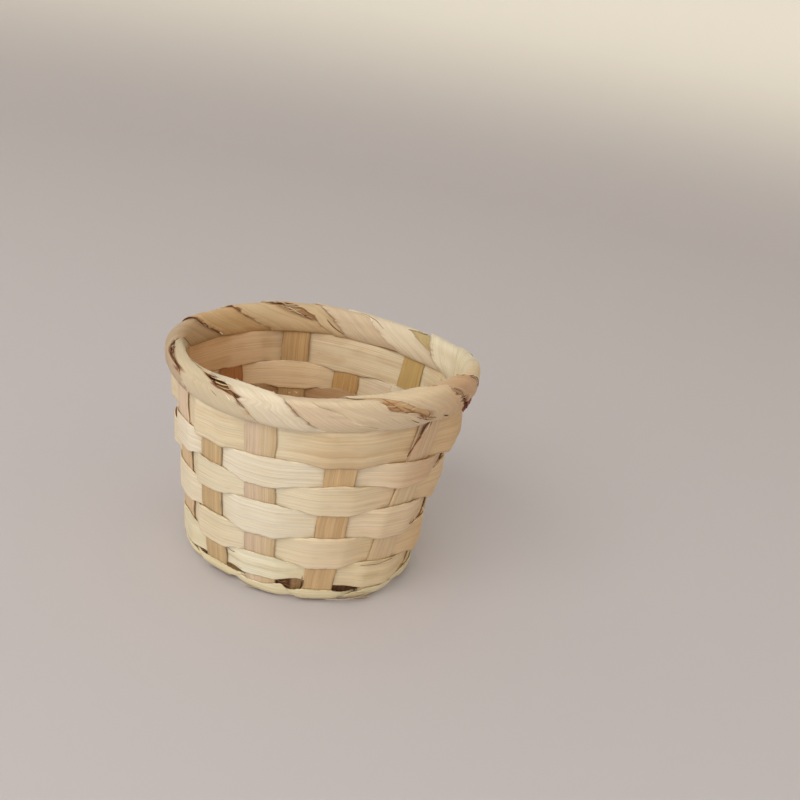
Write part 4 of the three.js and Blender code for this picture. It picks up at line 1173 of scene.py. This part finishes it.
# ------------------------------------------------------------------ material
def bamboo(name, fine=1.0, rough=0.56, bump=1.0, contrast=1.0):
    m = bpy.data.materials.new(name)
    m.use_nodes = True
    nt = m.node_tree
    nt.nodes.clear()
    N, L = nt.nodes.new, nt.links.new
    out = N("ShaderNodeOutputMaterial")
    bsdf = N("ShaderNodeBsdfPrincipled")
    L(bsdf.outputs["BSDF"], out.inputs["Surface"])
    bsdf.inputs["IOR"].default_value = 1.46
    bsdf.inputs["Specular IOR Level"].default_value = 0.38
    fib = N("ShaderNodeAttribute")
    fib.attribute_name = "fib"
    tint = N("ShaderNodeAttribute")
    tint.attribute_name = "tint"

    def noise(scale, detail, roughness=0.55):
        mul = N("ShaderNodeVectorMath")
        mul.operation = "MULTIPLY"
        mul.inputs[1].default_value = scale
        L(fib.outputs["Vector"], mul.inputs[0])
        n = N("ShaderNodeTexNoise")
        n.inputs["Scale"].default_value = 1.0
        n.inputs["Detail"].default_value = detail
        n.inputs["Roughness"].default_value = roughness
        L(mul.outputs["Vector"], n.inputs["Vector"])
        return n.outputs["Fac"]

    def ramp(fac, lo, hi, a, b):
        r = N("ShaderNodeMapRange")
        r.inputs["From Min"].default_value = lo
        r.inputs["From Max"].default_value = hi
        r.inputs["To Min"].default_value = a
        r.inputs["To Max"].default_value = b
        L(fac, r.inputs["Value"])
        return r.outputs["Result"]

    fine_f = noise((0.035, 3.6 * fine, 7.1), 4.0, 0.62)    # single fibres, 0.3 mm apart
    band_f = noise((0.008, 1.1 * fine, 5.3), 2.0)           # bands of fibres
    fleck_f = noise((0.16, 2.6 * fine, 3.7), 2.0)           # short flecks
    vein_f = noise((0.045, 2.7 * fine, 9.3), 3.0, 0.6)

    def mult(colour, factor):
        mx = N("ShaderNodeVectorMath")
        mx.operation = "SCALE"
        L(colour, mx.inputs[0])
        L(factor, mx.inputs["Scale"])
        return mx.outputs["Vector"]

    c = mult(tint.outputs["Color"], ramp(fine_f, 0.30, 0.70, 1 - 0.115 * contrast, 1 + 0.10 * contrast))
    c = mult(c, ramp(band_f, 0.3, 0.7, 1 - 0.055 * contrast, 1 + 0.045 * contrast))
    # Darker, browner lines where a vein of fibres shows.
    vein = ramp(vein_f, 0.57, 0.72, 0.0, 0.50 * contrast)
    mix = N("ShaderNodeMix")
    mix.data_type = "RGBA"
    mix.blend_type = "MULTIPLY"
    L(vein, mix.inputs["Factor"])
    L(c, mix.inputs["A"])
    mix.inputs["B"].default_value = (0.80, 0.66, 0.48, 1)
    c = mix.outputs["Result"]
    fleck = ramp(fleck_f, 0.66, 0.76, 0.0, 0.5 * contrast)
    mix2 = N("ShaderNodeMix")
    mix2.data_type = "RGBA"
    mix2.blend_type = "MULTIPLY"
    L(fleck, mix2.inputs["Factor"])
    L(c, mix2.inputs["A"])
    mix2.inputs["B"].default_value = (0.78, 0.62, 0.42, 1)
    c = mix2.outputs["Result"]
    L(c, bsdf.inputs["Base Color"])
    L(ramp(fine_f, 0.3, 0.7, rough + 0.07, rough - 0.07), bsdf.inputs["Roughness"])
    height = N("ShaderNodeMath")
    height.operation = "ADD"
    L(ramp(fine_f, 0.25, 0.75, 0.0, 1.0), height.inputs[0])
    L(ramp(band_f, 0.3, 0.7, 0.0, 1.3), height.inputs[1])
    bp = N("ShaderNodeBump")
    bp.inputs["Strength"].default_value = 0.55 * bump
    bp.inputs["Distance"].default_value = 0.00006
    L(height.outputs["Value"], bp.inputs["Height"])
    L(bp.outputs["Normal"], bsdf.inputs["Normal"])
    return m


MATERIALS = {
    "bamboo_stake": bamboo("bamboo_stake", 1.0, 0.60, 1.1, 1.35),
    "bamboo_weaver": bamboo("bamboo_weaver", 1.25, 0.55, 1.1, 1.15),
    "bamboo_hoop": bamboo("bamboo_hoop", 0.8, 0.60, 1.2, 1.3),
    "bamboo_binding": bamboo("bamboo_binding", 1.25, 0.52, 1.0, 0.95),
}


def finish_piece(ob, node, slot):
    ob.data.materials.append(MATERIALS[slot])
    if node:
        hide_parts(node)
    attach(ob, "root")
    return ob


# ------------------------------------------------------------------ build
for name, args in {
    "stake_strip_left": ("L", "N", GRID, -PLAIT_PITCH, [1, -1, 1]),
    "stake_strip_centre": ("A", "O", GRID, 0.0, [-1, 1, -1]),
    "stake_strip_right": ("B", "P", GRID, PLAIT_PITCH, [1, -1, 1]),
    "stake_strip_front": ("C", "M", GRID + 90, -PLAIT_PITCH, [-1, 1, -1]),
    "stake_strip_middle": ("D", "R", GRID + 90, 0.0, [1, -1, 1]),
    "stake_strip_back": ("E", "Q", GRID + 90, PLAIT_PITCH, [-1, 1, -1]),
}.items():
    finish_piece(merged(name + "_bamboo", [stake_strip(name, *args)]), name, "bamboo_stake")

for row, name in enumerate(["weaver_row_1", "weaver_row_2", "weaver_row_3", "weaver_row_4", "weaver_row_5",
                            "weaver_row_6", "foot_band_upper", "foot_band_lower"], 1):
    finish_piece(merged(name + "_bamboo", [weaver(name, row)]), name, "bamboo_weaver")

finish_piece(merged("rim_hoop_inner_bamboo", [hoop("rim_hoop_inner", -1, 140.0, 7000, srgb(186, 150, 100))]),
             "rim_hoop_inner", "bamboo_hoop")
finish_piece(merged("rim_hoop_outer_bamboo", [hoop("rim_hoop_outer", 1, 215.0, 7100, srgb(178, 138, 92))]),
             "rim_hoop_outer", "bamboo_hoop")
finish_piece(merged("rim_binding_bamboo", [turn(k) for k in range(len(LINES))] + under_pieces() + splinters()),
             "rim_binding_strip", "bamboo_binding")
finish_piece(merged("wall_splinters_bamboo", wall_splinters()), None, "bamboo_weaver")


# ------------------------------------------------------------------ floor, light
def stage_material():
    m = bpy.data.materials.new("stage")
    m.use_nodes = True
    b = m.node_tree.nodes["Principled BSDF"]
    b.inputs["Roughness"].default_value = 0.9
    b.inputs["Specular IOR Level"].default_value = 0.1
    # The floor sweeps up into a paler backdrop.
    N, L = m.node_tree.nodes.new, m.node_tree.links.new
    pos, sep, rng, mix = N("ShaderNodeNewGeometry"), N("ShaderNodeSeparateXYZ"), N("ShaderNodeMapRange"), N("ShaderNodeMix")
    rng.inputs["From Min"].default_value, rng.inputs["From Max"].default_value = 0.0, 0.22
    rng.interpolation_type = "SMOOTHSTEP"
    mix.data_type = "RGBA"
    L(pos.outputs["Position"], sep.inputs["Vector"])
    L(sep.outputs["Z"], rng.inputs["Value"])
    L(rng.outputs["Result"], mix.inputs["Factor"])
    mix.inputs["A"].default_value = (0.65, 0.62, 0.645, 1)
    mix.inputs["B"].default_value = (0.95, 0.915, 0.835, 1)
    L(mix.outputs["Result"], b.inputs["Base Color"])
    glow = N("ShaderNodeMapRange")
    glow.inputs["From Min"].default_value, glow.inputs["From Max"].default_value = 0.02, 0.30
    glow.inputs["To Max"].default_value = 0.17
    glow.interpolation_type = "SMOOTHSTEP"
    L(sep.outputs["Z"], glow.inputs["Value"])
    b.inputs["Emission Color"].default_value = (1.0, 0.93, 0.80, 1)
    L(glow.outputs["Result"], b.inputs["Emission Strength"])
    return m


def make_floor():
    rings = [0.0, 0.05, 0.1, 0.16, 0.24, 0.35, 0.5, 0.7, 0.95]
    prof = [(r, 0.0) for r in rings]
    R0, C = 0.95, 0.75
    for t in np.linspace(0, 90, 25)[1:]:
        prof.append((R0 + C * math.sin(math.radians(t)), C - C * math.cos(math.radians(t))))
    for z in (1.1, 1.6, 2.2):
        prof.append((R0 + C, z))
    n = 96
    verts = [(0, 0, 0)]
    faces = []
    for r, z in prof[1:]:
        for i in range(n):
            t = 2 * math.pi * i / n
            verts.append((r * math.cos(t), r * math.sin(t), z))
    for i in range(n):
        faces.append((0, 1 + i, 1 + (i + 1) % n))
    for k in range(len(prof) - 2):
        for i in range(n):
            a0, a1 = 1 + k * n + i, 1 + k * n + (i + 1) % n
            faces.append((a0, a0 + n, a1 + n, a1))
    me = bpy.data.meshes.new("floor")
    me.from_pydata(verts, [], faces)
    me.polygons.foreach_set("use_smooth", np.ones(len(faces), bool))
    me.materials.append(stage_material())
    me.update()
    ob = bpy.data.objects.new("floor", me)
    bpy.context.scene.collection.objects.link(ob)
    return ob


floor = make_floor()


def area(name, place_at, target, size, power, colour):
    ld = bpy.data.lights.new(name, "AREA")
    ld.shape = "RECTANGLE"
    ld.size, ld.size_y = size
    ld.energy = power
    ld.color = colour
    ob = bpy.data.objects.new(name, ld)
    ob.location = place_at
    ob.rotation_mode = "QUATERNION"
    ob.rotation_quaternion = (Vector(target) - Vector(place_at)).to_track_quat("-Z", "Y")
    bpy.context.scene.collection.objects.link(ob)
    return ob


area("key", (-0.62, -0.92, 0.72), (0, 0, 0.03), (1.1, 1.1), 9.15, (1.0, 0.985, 0.975))
area("top", (0.0, 0.2, 1.4), (0, 0, 0.0), (1.2, 1.2), 1.2, (1.0, 0.985, 0.985))

world = bpy.data.worlds.new("studio")
bpy.context.scene.world = world
world.use_nodes = True
world.node_tree.nodes["Background"].inputs["Color"].default_value = (1.0, 0.985, 0.975, 1)
world.node_tree.nodes["Background"].inputs["Strength"].default_value = 0.252

bpy.context.scene.view_settings.view_transform = "Standard"
bpy.context.scene.view_settings.look = "None"
bpy.context.scene.view_settings.exposure = 0.0
